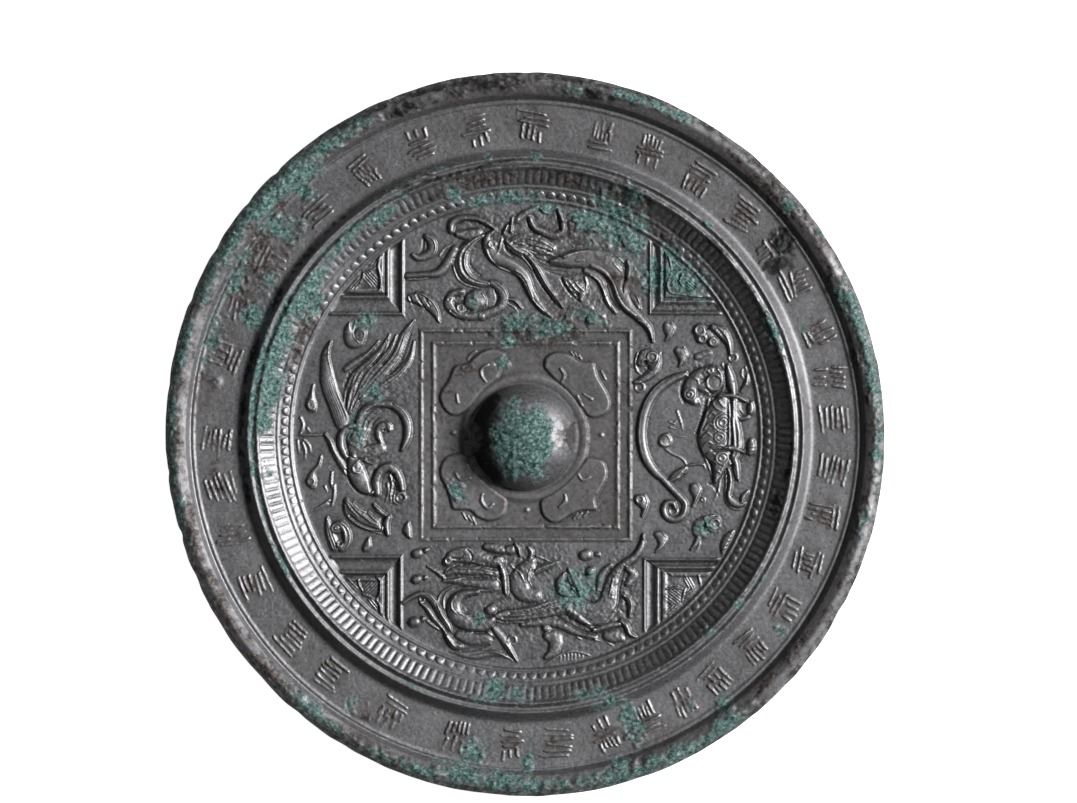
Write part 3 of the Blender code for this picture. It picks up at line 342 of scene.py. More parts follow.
def bronze(name, sheen, grain_strength):
    """Dark tin bronze with a satin patina, green, brown and black corrosion, and painted shade in the black and in
    the hollows.
    """
    material = bpy.data.materials.new(name)
    material.use_nodes = True
    nodes, links = material.node_tree.nodes, material.node_tree.links
    shader = nodes["Principled BSDF"]
    place = nodes.new("ShaderNodeTexCoord")

    def feed(socket, value):
        """Links what varies to a socket, and sets it to what is the same all over."""
        if isinstance(value, float):
            socket.default_value = value
        else:
            links.new(value, socket)

    def noise(scale, detail, rough):
        node = nodes.new("ShaderNodeTexNoise")
        feed(node.inputs["Scale"], scale)
        feed(node.inputs["Detail"], detail)
        feed(node.inputs["Roughness"], rough)
        feed(node.inputs["Vector"], place.outputs["Object"])
        return node.outputs["Fac"]

    def ramp(value, stops):
        node = nodes.new("ShaderNodeValToRGB")
        band = node.color_ramp
        while len(band.elements) < len(stops):
            band.elements.new(0.5)
        for element, (at, colour) in zip(band.elements, stops):
            element.position = at
            element.color = (*colour, 1.0)
        feed(node.inputs["Fac"], value)
        return node.outputs["Color"]

    def mixed(share, below, above, way="MIX"):
        """One colour over another."""
        node = nodes.new("ShaderNodeMix")
        node.data_type, node.blend_type = "RGBA", way
        feed(node.inputs["Factor"], share)
        feed(node.inputs[6], below)
        feed(node.inputs[7], above)
        return node.outputs[2]

    def blend(share, below, above):
        """One value over another."""
        node = nodes.new("ShaderNodeMix")
        feed(node.inputs["Factor"], share)
        feed(node.inputs[2], below)
        feed(node.inputs[3], above)
        return node.outputs[0]

    def painted(key):
        node = nodes.new("ShaderNodeAttribute")
        node.attribute_name = key
        return node.outputs["Fac"]

    def ragged(key, grain, soft):
        """A coat's cover, its soft edge broken up by the grain."""
        coat = nodes.new("ShaderNodeMath")
        coat.operation = "MULTIPLY_ADD"
        for socket, value in zip(coat.inputs, (grain, COAT_GAIN, painted(key))):
            feed(socket, value)
        cut = nodes.new("ShaderNodeMapRange")
        feed(cut.inputs["Value"], coat.outputs[0])
        feed(cut.inputs["From Min"], COAT_EDGE - soft)
        feed(cut.inputs["From Max"], COAT_EDGE + soft)
        return cut.outputs["Result"]

    noises = {key: noise(*values) for key, values in NOISES.items()}
    colour = mixed(noises["share"], ramp(noises["broad"], METAL), ramp(noises["fine"], SPECKLE))
    # Painted shade: the hollows are darkened and the crests lightened, by how far each place stands out.
    colour = mixed(1.0, colour, ramp(painted("shade_and_wear"), HOLLOW_TO_CREST), "MULTIPLY")
    rough, metallic = blend(noises["fine"], sheen - 0.1, sheen + 0.14), METALLIC
    for key, colours, grain, soft, coat_rough, coat_metallic in COATS:
        cover = ragged(key, noises["grit"], soft)
        colour = mixed(cover, colour, ramp(noises[grain], colours))
        rough, metallic = blend(cover, rough, coat_rough), blend(cover, metallic, coat_metallic)
    feed(shader.inputs["Base Color"], colour)
    feed(shader.inputs["Roughness"], rough)
    feed(shader.inputs["Metallic"], metallic)
    surface = shader.inputs["Normal"]
    for scale, detail, spread, depth in reversed(BUMPS):
        bump = nodes.new("ShaderNodeBump")
        feed(bump.inputs["Strength"], grain_strength)
        feed(bump.inputs["Distance"], depth)
        feed(bump.inputs["Height"], noise(scale, detail, spread))
        feed(surface, bump.outputs["Normal"])
        surface = bump.inputs["Normal"]
    return material


def dress(piece, material):
    """Gives a finished piece its bronze and fixes it to the mirror's CAD solid."""
    piece.data.materials.append(material)
    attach(piece, "root")
    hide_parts("mirror")


x, y, z, shades = ring(RIM_FOOT, RIM_EDGE, RIM_ROWS, RIM_COLUMNS)
edge_x, edge_y = x[-2] / RIM_EDGE, y[-2] / RIM_EDGE
x = np.vstack([x[:-1], *(edge_x * r for r, h in EDGE_WALL)])
y = np.vstack([y[:-1], *(edge_y * r for r, h in EDGE_WALL)])
z = np.vstack([z[:-1], *(h + WALL_UNEVENNESS * mottle(90 * edge_x, 90 * edge_y, 1.6, h) for r, h in EDGE_WALL)])
z[-2:] = 0.0
dress(lay(x, y, z, "rim", True, corroded(x, y)), bronze("rim_bronze", 0.54, 0.6))

# The reflecting face. The casting's other side was ground flat and polished, and lies
# down here. It has the same patina as the back, smoother, with the green crust at its edge.
FACE_EDGE, FACE_MIDDLE = 89.7, 0.02
FACE_ROWS, FACE_COLUMNS = 10, 360
radii = np.interp(np.arange(-1, FACE_ROWS + 2), (0, FACE_ROWS), (FACE_EDGE, FACE_MIDDLE))
radius, angle = np.meshgrid(radii, full_turn(FACE_COLUMNS), indexing="ij")
x, y = radius * np.cos(angle), radius * np.sin(angle)
face = lay(x, y, np.zeros_like(x), "reflecting_face", True, corroded(x, y))
for polygon in face.data.polygons:
    polygon.flip()
face.data.normals_split_custom_set_from_vertices([(0.0, 0.0, -1.0)] * len(face.data.vertices))
dress(face, bronze("face_bronze", 0.3, 0.2))

# The band of strokes. It is a flat ring of the casting between the rim and the ridge.
# Groups of plain shallow strokes, cast with it and worn, stand round it in tiers.
BAND_FOOT, BAND_MIDDLE = 72.0, 77.5
BAND_ROWS, BAND_COLUMNS = 44, 1700
GROUP_ANGLES = (
    3, 10.5, 19, 29, 37, 45, 56, 66, 76, 88.5, 99, 110, 121, 133, 146, 156, 165, 181, 189.5, 198.5, 208.5, 221, 231,
    244, 257, 267, 276, 285, 293, 300.5, 308, 317, 326.5, 336, 345, 354,
)
GROUP_TALL, GROUP_WIDE = 8.0, 8.4
GROUP_REACH_ALONG, GROUP_REACH_OUT = 5.0, 4.8
STROKE_HALF, STROKE_RISE = 0.28, 0.32
BAND_GRAIN = 0.022
# A small ringed dot beside one group, and the brown soil that lies round all the strokes.
DOT_PLACE, DOT_HALF, DOT_RISE = (-77.5, 13.3), 1.2, 0.5
DOT_HOLE_HALF, DOT_HOLE_DEPTH = 0.5, 0.35
STROKE_SOIL_HALF, STROKE_SOIL = 3.6, 0.55
# The sides of the band that handling has rubbed brighter or left duller, in radians.
BRIGHT_SIDE, DULL_SIDE = 3.84, 1.19


def strokes_in_place(x, y, radius, angle):
    """Groups of parallel raised strokes in tiers, each tier with its own direction."""
    choose = random.Random(11)
    height = np.zeros_like(x)
    for degrees in GROUP_ANGLES:
        middle, lean = math.radians(degrees + choose.uniform(-0.4, 0.4)), choose.uniform(-0.22, 0.22)
        along = BAND_MIDDLE * turned_from(angle, middle)
        out = radius - BAND_MIDDLE
        near = (np.abs(along) < GROUP_REACH_ALONG) & (np.abs(out) < GROUP_REACH_OUT)
        a, b = along[near] - lean * out[near], out[near] + lean * along[near]
        found = np.zeros_like(a)
        tiers = choose.choice((2, 2, 3))
        tall = GROUP_TALL / tiers
        for tier in range(tiers):
            middle_out = (tier - (tiers - 1) / 2) * tall
            upright = choose.random() < 0.4
            count = choose.randint(3, 5) if upright else (3 if tiers == 2 else 2)
            reach = tall if upright else GROUP_WIDE * choose.uniform(0.7, 1.0)
            span = GROUP_WIDE * choose.uniform(0.6, 0.85) if upright else tall
            for number in range(count):
                place = ((number + 0.5) / count - 0.5) * span + choose.uniform(-0.1, 0.1)
                half, thick = reach * choose.uniform(0.26, 0.48), STROKE_HALF * choose.uniform(0.8, 1.3)
                u, v = (b - middle_out, a - place) if upright else (a, b - middle_out - place)
                shift, slant = choose.uniform(-0.7, 0.7), choose.uniform(-0.1, 0.1)
                beyond = np.maximum(np.abs(u - shift) - half, 0.0)
                found = np.maximum(found, 1.0 - ((v - slant * u) ** 2 + beyond**2) / thick**2)
        worn = np.clip(1.0 + 0.8 * mottle(x[near], y[near], 2.6, 67), 0.15, 1.3)
        height[near] = np.maximum(height[near], STROKE_RISE * worn * np.sqrt(np.maximum(found, 0.0)))
    height += BAND_GRAIN * mottle(x, y, 0.6, 105) * np.clip(0.65 - 0.5 * np.cos(angle), 0.2, 1.0)
    dot = np.hypot(x - DOT_PLACE[0], y - DOT_PLACE[1])
    dot_hole = DOT_HOLE_DEPTH * np.exp(-((dot / DOT_HOLE_HALF) ** 2))
    return height + DOT_RISE * np.exp(-((dot / DOT_HALF) ** 2)) - dot_hole


x, y, z, shades = ring(BAND_FOOT, RIM_FOOT, BAND_ROWS, BAND_COLUMNS, strokes_in_place)
soil_patches = [(degrees, BAND_MIDDLE, STROKE_SOIL_HALF, STROKE_SOIL_HALF, STROKE_SOIL) for degrees in GROUP_ANGLES]
shades["brown"] = np.maximum(shades["brown"], growth(x, y, soil_patches, BROWN_SHIFT))
angle = np.arctan2(y, x)
brighter, duller = np.maximum(np.cos(angle - BRIGHT_SIDE), 0.0), np.maximum(np.cos(angle - DULL_SIDE), 0.0)
shades["shade_and_wear"] += 0.3 * brighter - 0.1 * duller
dress(lay(x, y, z, "inscription_band", True, shades), bronze("band_bronze", 0.5, 0.6))

# The ridge. It parts the band of strokes from the figures: two sharp crests with a
# groove between them, cast with the rest, its crests battered and crusted in places.
RIDGE_FOOT = 68.35
RIDGE_ROWS, RIDGE_COLUMNS = 13, 1400
CRESTS = ((69.3, 0.5), (67.4, 0.6))
DENTS = 0.16


def battered(x, y, radius, angle):
    """Small losses along the two crests, which are radius and half width in mm."""
    crest = sum(np.exp(-(((radius - at) / half) ** 2)) for at, half in CRESTS)
    return -crest * DENTS * np.clip(mottle(x, y, 1.9, 51) + 0.6 * mottle(x, y, 0.8, 53) - 0.1, 0.0, 1.0)


x, y, z, shades = ring(RIDGE_FOOT, BAND_FOOT, RIDGE_ROWS, RIDGE_COLUMNS, battered)
dress(lay(x, y, z, "outer_ridge", True, shades), bronze("ridge_bronze", 0.56, 0.4))

# The sloping bands inside the ridge. One has a comb of radial teeth, and the other a row
# of half-round mounds, between fine turned lines. Both are cast with the rest and worn.
FIELD_EDGE = 59.3
COMB_ROWS, COMB_COLUMNS = 36, 1560
TEETH, TOOTH_RISE = 212, 0.25
COMB_INNER, COMB_OUTER, COMB_END_FADE = 62.9, 66.45, 0.35
TOOTH_HALF, TOOTH_FLANK, TOOTH_SLANT = 0.78, 0.5, 0.02
MOUNDS, MOUND_RISE = 148, 0.42
MOUND_FOOT, MOUND_CIRCLE = 59.9, 60.5
MOUND_HALF, MOUND_LENGTH = 1.12, 1.35


def comb_and_mounds(x, y, radius, angle):
    """The teeth and mounds in mm above the slope they stand on."""
    wander = 0.25 * mottle(x, y, 14.0, 61)
    phase = angle * TEETH / (2 * math.pi) + wander
    tooth = np.abs((phase + TOOTH_SLANT * (radius - 64.5)) % 1.0 - 0.5) * 2
    blade = fade_in(TOOTH_HALF - tooth, TOOTH_FLANK)
    ends = fade_in(radius - COMB_INNER, COMB_END_FADE) * fade_in(COMB_OUTER - radius, COMB_END_FADE)
    worn = np.clip(0.75 + 0.5 * mottle(x, y, 8.0, 63), 0.25, 1.0)
    comb = TOOTH_RISE * blade * (2 - blade) * ends * worn
    pitch = 2 * math.pi * MOUND_CIRCLE / MOUNDS
    side = ((angle * MOUNDS / (2 * math.pi) + wander) % 1.0 - 0.5) * pitch
    out = radius - MOUND_FOOT
    share = (side / MOUND_HALF) ** 2 + (np.maximum(out, 0.0) / MOUND_LENGTH) ** 2
    mound = MOUND_RISE * np.sqrt(np.clip(1 - share, 0, 1)) * fade_in(out + 0.35, 0.5)
    return comb + mound * worn + battered(x, y, radius, angle)


x, y, z, shades = ring(FIELD_EDGE, RIDGE_FOOT, COMB_ROWS, COMB_COLUMNS, comb_and_mounds)
dress(lay(x, y, z, "comb_bands", True, shades), bronze("comb_bronze", 0.48, 0.4))

# The figured field. The recessed floor between the bands and the square holds four
# creatures, clouds and corner brackets, modelled in the mould and softened by wear. It is
# one casting with the rest, and is laid in four quarters so that its mesh can be fine.
SQUARE_EDGE = 27.0
FIELD_ROWS, FIELD_COLUMNS = 128, 400

# The striding beast above the square. Bodies are marks (x, y, half width) after a rise and a
# number of lengthwise stripes; lines and cuts are (half width, x, y, x, y, ...), and rings
# are (x, y, radius, half width), all in mm. The other creatures are written in the same way.
BEAST_BODIES = (
    (.9, 3, (-10.8, 50, .6), (-13.7, 48, 1.3), (-15.7, 45.4, 1.7), (-15.9, 42.2, 1.8), (-14.4, 39.7, 1.6),
     (-12, 38.4, 1.2), (-9.4, 37.9, .7)),
    (.85, 0, (-18.7, 51.2, .8), (-18.4, 53.2, 1), (-16, 54.4, .8), (-12.4, 54.2, .7), (-9.2, 52.8, .7),
     (-7.6, 51.6, .5)),
    (.6, 0, (-17, 50.4, .9), (-14.4, 50.2, 1.5), (-12, 50.6, 1.3)),
    (.75, 0, (-7.6, 51.4, .5), (-9.6, 49.6, 1), (-9.2, 46.8, 1.5), (-7.2, 44.4, 1.7), (-3.6, 42.7, 1.5),
     (-.4, 40, 1.4), (1.4, 36, 1.2), (4, 32, 1), (6.4, 29.8, .5)),
    (.8, 2, (-4.8, 48.6, .6), (-2.6, 46.6, 1.2), (.4, 44.8, 1.3), (2.8, 41.6, 1.2), (5, 37.8, 1.1), (7.4, 34.6, 1),
     (9.4, 32, .4)),
    (.8, 0, (-17.8, 46.6, 1), (-19, 44.2, 1.2), (-20.4, 42, 1.2), (-22.4, 40.5, 1), (-26, 40.2, .7),
     (-29.6, 39.9, .8)),
    (.8, 0, (-5.4, 50.6, .6), (-4.5, 52.6, .4)), (.8, 0, (-3.6, 51, .5), (-3.3, 54.4, .35)),
    (.6, 0, (-2.2, 53.8, .8), (-.6, 55.2, 1), (1.6, 56.3, .9), (3, 57.2, .4)),
    (.85, 0, (1.2, 54.2, .7), (2, 52.2, .9), (4.4, 50.9, 1), (7.2, 50, 1), (9.2, 51.2, .9), (9.3, 53.8, .8),
     (8.2, 56.4, .5)),
    (.55, 4, (-4, 47.4, 1.2), (-1, 48.2, 2.4), (3, 47.6, 2.4), (6.4, 46.4, 1.4)),
    (.8, 0, (6.4, 43.4, .7), (10, 43.8, 1.7), (14, 44.2, 2.3), (18, 43.8, 2.7), (21.6, 41.8, 2.6), (23.4, 38.6, 2),
     (24.4, 35, 1.8), (26, 31.9, 1.5), (28.8, 29.2, 1.1), (31.1, 26.6, .9), (31.9, 23.4, .4)),
    (.55, 0, (15, 41.2, .8), (18, 39.6, 1), (19.7, 36.8, .9), (20.6, 33.6, .9), (22.6, 30.8, .6)),
    (.55, 0, (9.6, 39.4, .5), (12, 37.4, 1.7), (14.2, 36.6, 1.5), (14, 34, .7)),
    (.7, 0, (25.6, 43.6, .5), (26, 41.8, .7), (25.6, 39.2, .7), (24.9, 36.2, .4)),
    (.6, 0, (26.4, 34.8, .8), (27.6, 33.8, 1.3), (28.4, 31.8, .5)), (.7, 0, (16.2, 29, 1.2), (16.6, 29, 1.2)),
    (.6, 0, (-25, 49.8, .7), (-23.6, 48.5, 1.2), (-23.4, 46.6, 1.2), (-24.8, 45, 1.1), (-27, 44.4, .9),
     (-28.3, 45.2, .6)),
    (.7, 0, (-8.6, 38.2, .8), (-6.6, 37, 1.2), (-5.5, 34.7, 1.2), (-6.3, 32.3, 1.2), (-8.6, 30.9, 1.1),
     (-11.6, 30, 1.1), (-15, 29.9, 1.1), (-17.8, 30.9, 1.2), (-19.3, 33, 1.3), (-18.4, 35.4, .9), (-16, 36, .7)),
    (1, 0, (-12.9, 33.6, 2.5), (-12.2, 34, 2.5)), (.6, 0, (-16.7, 32, 1.2), (-16.2, 31.8, 1.2)),
    (.9, 0, (-11.3, 29.9, 1.1), (-10.9, 29.8, 1.1)),
    (.55, 0, (-28.6, 34.3, 1.2), (-26.4, 34.2, 1.6), (-24.4, 32.9, 1.5), (-22.7, 30.8, 1.1), (-21.7, 28.4, .4)),
    (.5, 0, (12, 52.6, 1.6), (15.4, 53.2, 2), (18, 52.2, 1.6)), (.5, 0, (26, 48.6, 2), (28, 47.4, 2.2)),
    (.4, 0, (-4.4, 34, .4), (-2.8, 33.8, .6), (-1, 31.9, .4)),
)
BEAST_LINES = (
    (.3, -9.8, 46.4, -8.9, 44.2, -7, 42.3, -4.6, 41.2, -2.2, 40.2, -.5, 38.5, .5, 36.6, 1.3, 34.6, 2.6, 32.8, 4.6,
     31),
    (.35, -2.5, 41.2, -1, 40.2, .2, 38.6, 1, 36.6, 1.8, 34.4),
    (.35, .8, 44.8, 2.6, 42.6, 4.2, 39.8, 5.8, 37, 7.8, 34.6),
    (.3, -17.9, 44, -17.9, 41.6, -16.8, 39, -14.6, 37.5, -12, 36.9),
    (.3, -14.9, 45.8, -15.3, 43.6, -14.9, 41.4, -13.8, 40), (.4, -8.7, 48.6, -8.1, 47.2),
    (.35, -6, 49.2, -6.4, 47.4, -7, 45.6), (.25, -2.8, 48.3, -.8, 47.9, .6, 47.2),
    (.25, 1.4, 47.6, 3.4, 47.4, 5.2, 46.4), (.25, 2.4, 46.9, 4.4, 46.4), (.25, -2, 46.9, .4, 46.3, 2.6, 45.4),
    (.25, -3.2, 49.6, -.6, 49.8, 1.4, 49.2), (.25, 3.4, 49, 5.6, 48.4, 7.6, 47.2),
    (.3, 3.6, 45.6, 6, 45.4, 8.4, 44.4), (.3, -21.6, 45, -20.4, 46.8, -18.6, 47.7),
    (.25, -18.4, 43.2, -17.9, 41.2, -17.1, 39.2), (.3, -29.8, 39, -27, 39, -23.6, 39.4),
    (.35, -24.9, 50.2, -23.3, 49.2, -22.5, 47.4, -22.9, 45.6, -24.2, 44.4), (.25, -25.2, 48.4, -25.4, 46.2),
    (.35, -27.4, 35.7, -25.2, 35, -23.5, 33.6, -22.1, 31.6, -21.4, 29), (.3, -10.8, 35.4, -9.9, 34, -9.8, 32.2),
    (.3, -7.6, 38.4, -5.5, 36.8, -4.5, 34.6, -5.1, 32.2, -7, 30.6), (.3, -4.3, 34.1, -2.6, 33.7, -1.2, 31.9),
    (.25, -4.4, 32.9, -2.8, 32, -1.8, 30.6),
    (.6, 16.6, 42.4, 19.4, 41, 21.2, 38.8, 22.2, 36.4, 23.2, 34, 24.8, 31.8, 27.4, 30),
    (.3, 16.2, 40, 18.2, 38.7, 19.3, 36.6, 20.1, 34.4, 21.2, 32.2), (.3, 9.6, 44.8, 12.6, 45.9, 16, 46.4),
    (.3, 12.6, 43.8, 14.6, 43.9), (.25, 22.6, 44, 25, 41.4), (.25, 22.1, 43, 24.7, 40.2),
    (.25, 23.2, 44.6, 25.2, 42.6), (.4, 14.9, 39.6, 15.4, 37.8, 15.1, 36.2),
    (.25, 9.9, 38.4, 11.4, 36.2, 13.2, 34.2), (.25, 10.8, 38.8, 12.3, 36.8, 14, 35.2),
    (.25, 12, 39, 13.2, 37.4, 14.8, 36), (.25, 10.8, 37, 13, 38.6), (.25, 11.6, 35.6, 14.2, 37.4),
    (.25, 12.6, 34.4, 14.6, 35.6), (.35, 27.8, 34.8, 28.6, 33.4, 29, 31.6),
    (.35, 28, 28.6, 29.9, 27.8, 31.1, 26.2, 31.9, 24), (.3, 3.4, 56.9, 5, 55.8, 7.4, 55.4),
)
BEAST_CUTS = (
    (.8, 5.6, 44.8, 8.4, 46.2, 12.4, 46.9), (.4, -25.5, 49, -25.8, 46.4, -26.8, 45.4),
    (.35, .5, 53.5, 1, 52.2, 2.8, 50.8), (.4, 3.3, 57, 3.8, 55.9, 5, 55.2), (.4, 8, 55.2, 8.3, 53.2, 8.7, 51.2),
    (.3, .6, 45.4, 3.6, 43.9, 7, 43, 10, 42.8), (.3, 1.6, 44.4, 4.6, 42.6, 8, 42, 11.2, 41.7),
    (.3, 3.2, 43, 5.8, 41.4, 8.6, 41, 12, 40.8), (.3, 4.4, 41.8, 7, 40.5, 10, 40, 14, 40.2, 17, 39.4),
    (.35, 5.2, 46.2, 8, 45, 9.6, 44.2), (.4, -.6, 45.2, 1.2, 42.8, 3.2, 39.2, 5.2, 36, 7.2, 33.4),
    (.4, -14, 42.8, -12.8, 41, -11.4, 40.2), (.35, -5.2, 48, -4.8, 46.3, -3, 45, -.8, 45),
    (.35, 20.2, 37.2, 20.9, 35, 22, 33, 23.4, 31.4), (.35, 24.7, 43, 24.9, 40, 24.3, 37, 24.4, 35.8),
    (.35, 9, 39, 10.2, 36.8, 11.8, 34.8, 13.4, 33.4), (.35, -29, 34.6, -28.2, 32.9, -26.6, 32.2),
    (.3, -27.2, 35, -26.2, 33.2, -25, 31.6), (.3, -25, 34, -24, 32.2), (.35, -7.7, 36.4, -7.1, 34.2, -7.9, 32.2),
    (.3, -19.2, 34, -17.8, 34.8, -16.4, 34.4), (.35, -18.6, 31.2, -17.4, 30.2),
)
BEAST_RINGS = ((-8.4, 47.8, 0.8, 0.35), (-16.4, 31.9, 0.8, 0.3))

# The dragon below the square.
DRAGON_BODIES = (
    (.9, 0, (-27.5, -29.8, 1.2), (-26.8, -29.6, 1.2)), (.7, 0, (-25.1, -29, .7), (-24.9, -28.8, .7)),
    (.9, 0, (-27.6, -36.3, 1.1), (-27, -36.1, 1.1)), (.7, 0, (-25.3, -35.9, .6), (-25.1, -35.7, .6)),
    (.95, 0, (-28.3, -47, 1.2), (-27.6, -46.8, 1.3)), (.7, 0, (-25.8, -46.2, .7), (-25.6, -46, .6)),
    (.5, 0, (-24.6, -32.9, .3), (-22.4, -34.2, .6), (-20.6, -35.6, .6)),
    (.5, 0, (-20.6, -36.6, .4), (-17, -36.7, .8), (-12, -37.3, 1.2), (-8, -37.6, 1.4)),
    (.6, 3, (-19.8, -34.8, .6), (-17.4, -33.9, 1.1), (-14, -33.8, 1.3), (-10, -34.3, 1.2), (-7.6, -34.8, .9)),
    (.8, 0, (-19.8, -31.9, 1.1), (-19.4, -31.3, 1.1)),
    (.6, 0, (-18.6, -30.4, 1.4), (-16, -30, 2), (-12.4, -30.6, 2.1), (-9.4, -31.6, 1.6)),
    (.6, 0, (-9.8, -28, 1), (-7.4, -28.4, 1.3), (-5.6, -29, .9)), (.7, 0, (-8.2, -32, 1.2), (-6.8, -31.6, 1.4)),
    (.6, 0, (-4.5, -28.9, 1.1), (-3.4, -28.8, 1.3)),
    (.8, 0, (-2.6, -27.3, .4), (-1.7, -28.5, .6), (-1.4, -30.2, .4)),
    (.6, 0, (.8, -28.3, .5), (1.5, -29.1, .7), (1.3, -30.6, .6)),
    (.75, 0, (-6.2, -32.8, .6), (-5.5, -34.6, .8), (-5.3, -37, .8), (-4.9, -39.8, .5)),
    (.65, 0, (1.4, -31.6, 1.2), (.2, -34, 2.4), (-1.6, -36.6, 2.6), (-.6, -39.6, 2.2), (2.4, -40.4, 1.6)),
    (.5, 0, (2.4, -34, 1), (4.6, -33.2, .9), (7.8, -32, .4)),
    (.95, 0, (-12, -39.4, .6), (-15.4, -39.8, 1.1), (-17.6, -41.6, 1.7), (-17.9, -44, 1.9), (-16.4, -46.2, 2),
     (-13.4, -47.4, 2), (-10.2, -47.4, 1.7), (-8.4, -46.4, 1)),
    (.9, 0, (-9, -43.9, 1.3), (-8.6, -43.8, 1.3)),
    (.75, 0, (-30.6, -42, .6), (-28.8, -40.8, .6), (-26.2, -39.8, .7), (-23.8, -40.9, 1), (-22.3, -43, .9),
     (-21, -45.2, 1), (-19.4, -47.6, .8), (-18.8, -49, .4)),
    (.65, 0, (-26.4, -42, .4), (-24.6, -43.6, .7), (-23, -46, .7), (-21.2, -48, .6), (-20, -49.4, .4)),
    (.4, 0, (-24.8, -46.5, .3), (-23.2, -47.8, .5), (-21.8, -48.7, .3)),
    (.8, 0, (-20.2, -49.4, .5), (-19.3, -50.8, .9), (-18, -52.7, 1.1), (-16.4, -53, .8)),
    (.45, 0, (-16.6, -50.2, 1.2), (-13.4, -51, 1.8), (-9.6, -50.8, 1.4)),
    (.4, 0, (-18, -55.4, .5), (-13, -55.6, .8), (-7.6, -54.6, .8), (-5, -55.6, .4)),
    (.8, 4, (-7.6, -45.6, .6), (-4.6, -45.4, 1.6), (0, -45.2, 2), (4, -44.4, 2.1), (8, -43.2, 2.1),
     (11.6, -42.8, 2)),
    (.85, 0, (10.4, -43, 1.6), (14, -44.4, 2.7), (18, -44.8, 3.1), (20.6, -42.4, 2.6), (21.4, -38.6, 2),
     (22.6, -35, 1.5), (24.6, -32.5, 1.1), (27.2, -30.7, 1), (29, -28, .9), (29.6, -25, .4)),
    (.5, 0, (-8, -48.4, .7), (-6.6, -50, 1), (-5.2, -52, 1), (-3.9, -54, .9), (-2.2, -56.6, .4)),
    (.5, 0, (-1, -47.6, .6), (4, -46.9, 1.1), (8.4, -47.4, 1.1), (12, -49.2, 1), (17.4, -50.8, .6)),
    (.6, 0, (5, -48.4, .9), (5.4, -48.6, .9)),
    (.5, 0, (5.4, -50.4, 1.2), (7.4, -51.2, 1.8), (7, -54, 1.4), (5, -55.8, .6)),
    (.45, 0, (20.4, -50.4, 1.2), (22.4, -50.6, 1.6), (24, -51, .9)),
    (.6, 0, (17.2, -49, .7), (20.4, -47.9, .9), (23.4, -47.4, .7)),
    (.65, 2, (10.8, -33.6, .4), (11.7, -35.6, 1.3), (12.9, -38, 1.4), (13.7, -40.2, .6)),
    (.6, 0, (9.8, -35, .8), (8.8, -36.8, 1.2), (8.8, -38.8, 1.2), (10.4, -40, .9)),
    (.9, 0, (14.6, -30.2, 1.3), (15.4, -30, 1.4)), (.7, 0, (17.8, -30, .6), (18.2, -29.9, .6)),
    (.8, 0, (16, -34.2, 1.1), (16.4, -34, 1.1)), (.6, 0, (25.4, -33.4, .7), (27, -35, 1.2), (25.6, -37.4, .9)),
    (.55, 0, (18.4, -38.8, .7), (18.8, -36.4, 1.1), (19.9, -34, .9), (21.4, -32.6, .5)),
    (.8, 0, (24.6, -40.2, .5), (25.8, -41.2, .8), (26.3, -43, .8), (26.1, -45.6, .4)),
    (.8, 0, (23.8, -46.6, .5), (25.2, -47.8, .8), (26.1, -49.8, .7), (28, -50.9, .4)),
)
DRAGON_LINES = (
    (.3, -20.6, -35.9, -18.5, -36.3, -15, -35.6, -11, -35.5, -7.4, -36),
    (.25, -17.4, -33.2, -14.6, -33.6, -12, -33.2, -9.4, -34.2), (.25, -16.6, -34.6, -13, -34.8, -9.4, -35),
    (.3, -20.4, -34.8, -19.6, -33.5, -17.9, -32.7),
    (.3, -7.2, -36.2, -6.2, -37.2, -6.4, -38.4, -8, -39, -11.6, -38.9, -15, -38.2),
    (.3, -21.8, -43.4, -22, -41.6, -21.3, -39.9, -19.8, -38.6, -17.6, -37.8, -14, -37.6),
    (.3, -20.5, -43.6, -20.6, -41.4, -19.9, -39.7, -18.2, -38.6), (.35, -21.4, -44.4, -20.4, -46, -19.4, -47.6),
    (.3, -25.4, -39.2, -23.5, -40.5, -22.2, -42), (.25, -16.6, -44.6, -14.8, -45.2, -12.6, -44.8),
    (.25, -17.6, -40.4, -18.6, -41.8, -18.4, -43.6, -17, -45), (.3, -19.8, -50.4, -18.8, -51.8, -17.6, -53.2),
    (.75, 10.6, -43.6, 12.6, -45.2, 14.8, -47, 17, -48.7), (.3, -7, -45, -5.4, -44.2, -2, -44, 2, -43.4, 6, -41.8),
    (.3, -7.2, -46.6, -5.4, -47.1, -2.4, -46.8), (.3, 21.9, -36, 21.4, -38.4, 20.8, -40.4),
    (.3, 24.8, -39.4, 26.2, -41, 26.7, -43.2, 26.5, -45), (.3, 29.3, -25.2, 30, -26.8, 29.4, -28.8),
    (.3, 2.6, -30.3, 4.6, -31, 6.4, -31.9, 8.2, -31.8), (.3, 2.6, -33.9, 4.8, -33, 7, -32.5),
    (.25, -3.4, -33, -1.4, -34.6, -.4, -36.6), (.25, 1.2, -33.6, .6, -36, 1.6, -38),
    (.3, -4.9, -52.4, -3.8, -54, -2.4, -56.2), (.3, -19, -54.4, -15, -54.8, -10, -54.2, -6, -54.9, -3.2, -56.6),
    (.3, 5, -57.4, 7, -56.2, 9, -54.9, 12, -54.3, 15, -54.9, 17.2, -56), (.25, 8.8, -55.5, 8.6, -56.9),
    (.25, 9.7, -55.2, 9.6, -56.7), (.25, 10.6, -54.9, 10.6, -56.5), (.25, 11.5, -54.8, 11.5, -56.4),
    (.25, 12.4, -54.8, 12.4, -56.4), (.25, 13.3, -54.9, 13.4, -56.4), (.25, 14.2, -55.1, 14.4, -56.5),
    (.3, 13, -50.8, 14, -51.2), (.3, 15.4, -50.9, 16.4, -51.2), (.3, 17.4, -51.4, 18.4, -51.6),
    (.3, 20.8, -52.3, 22, -52.8),
)
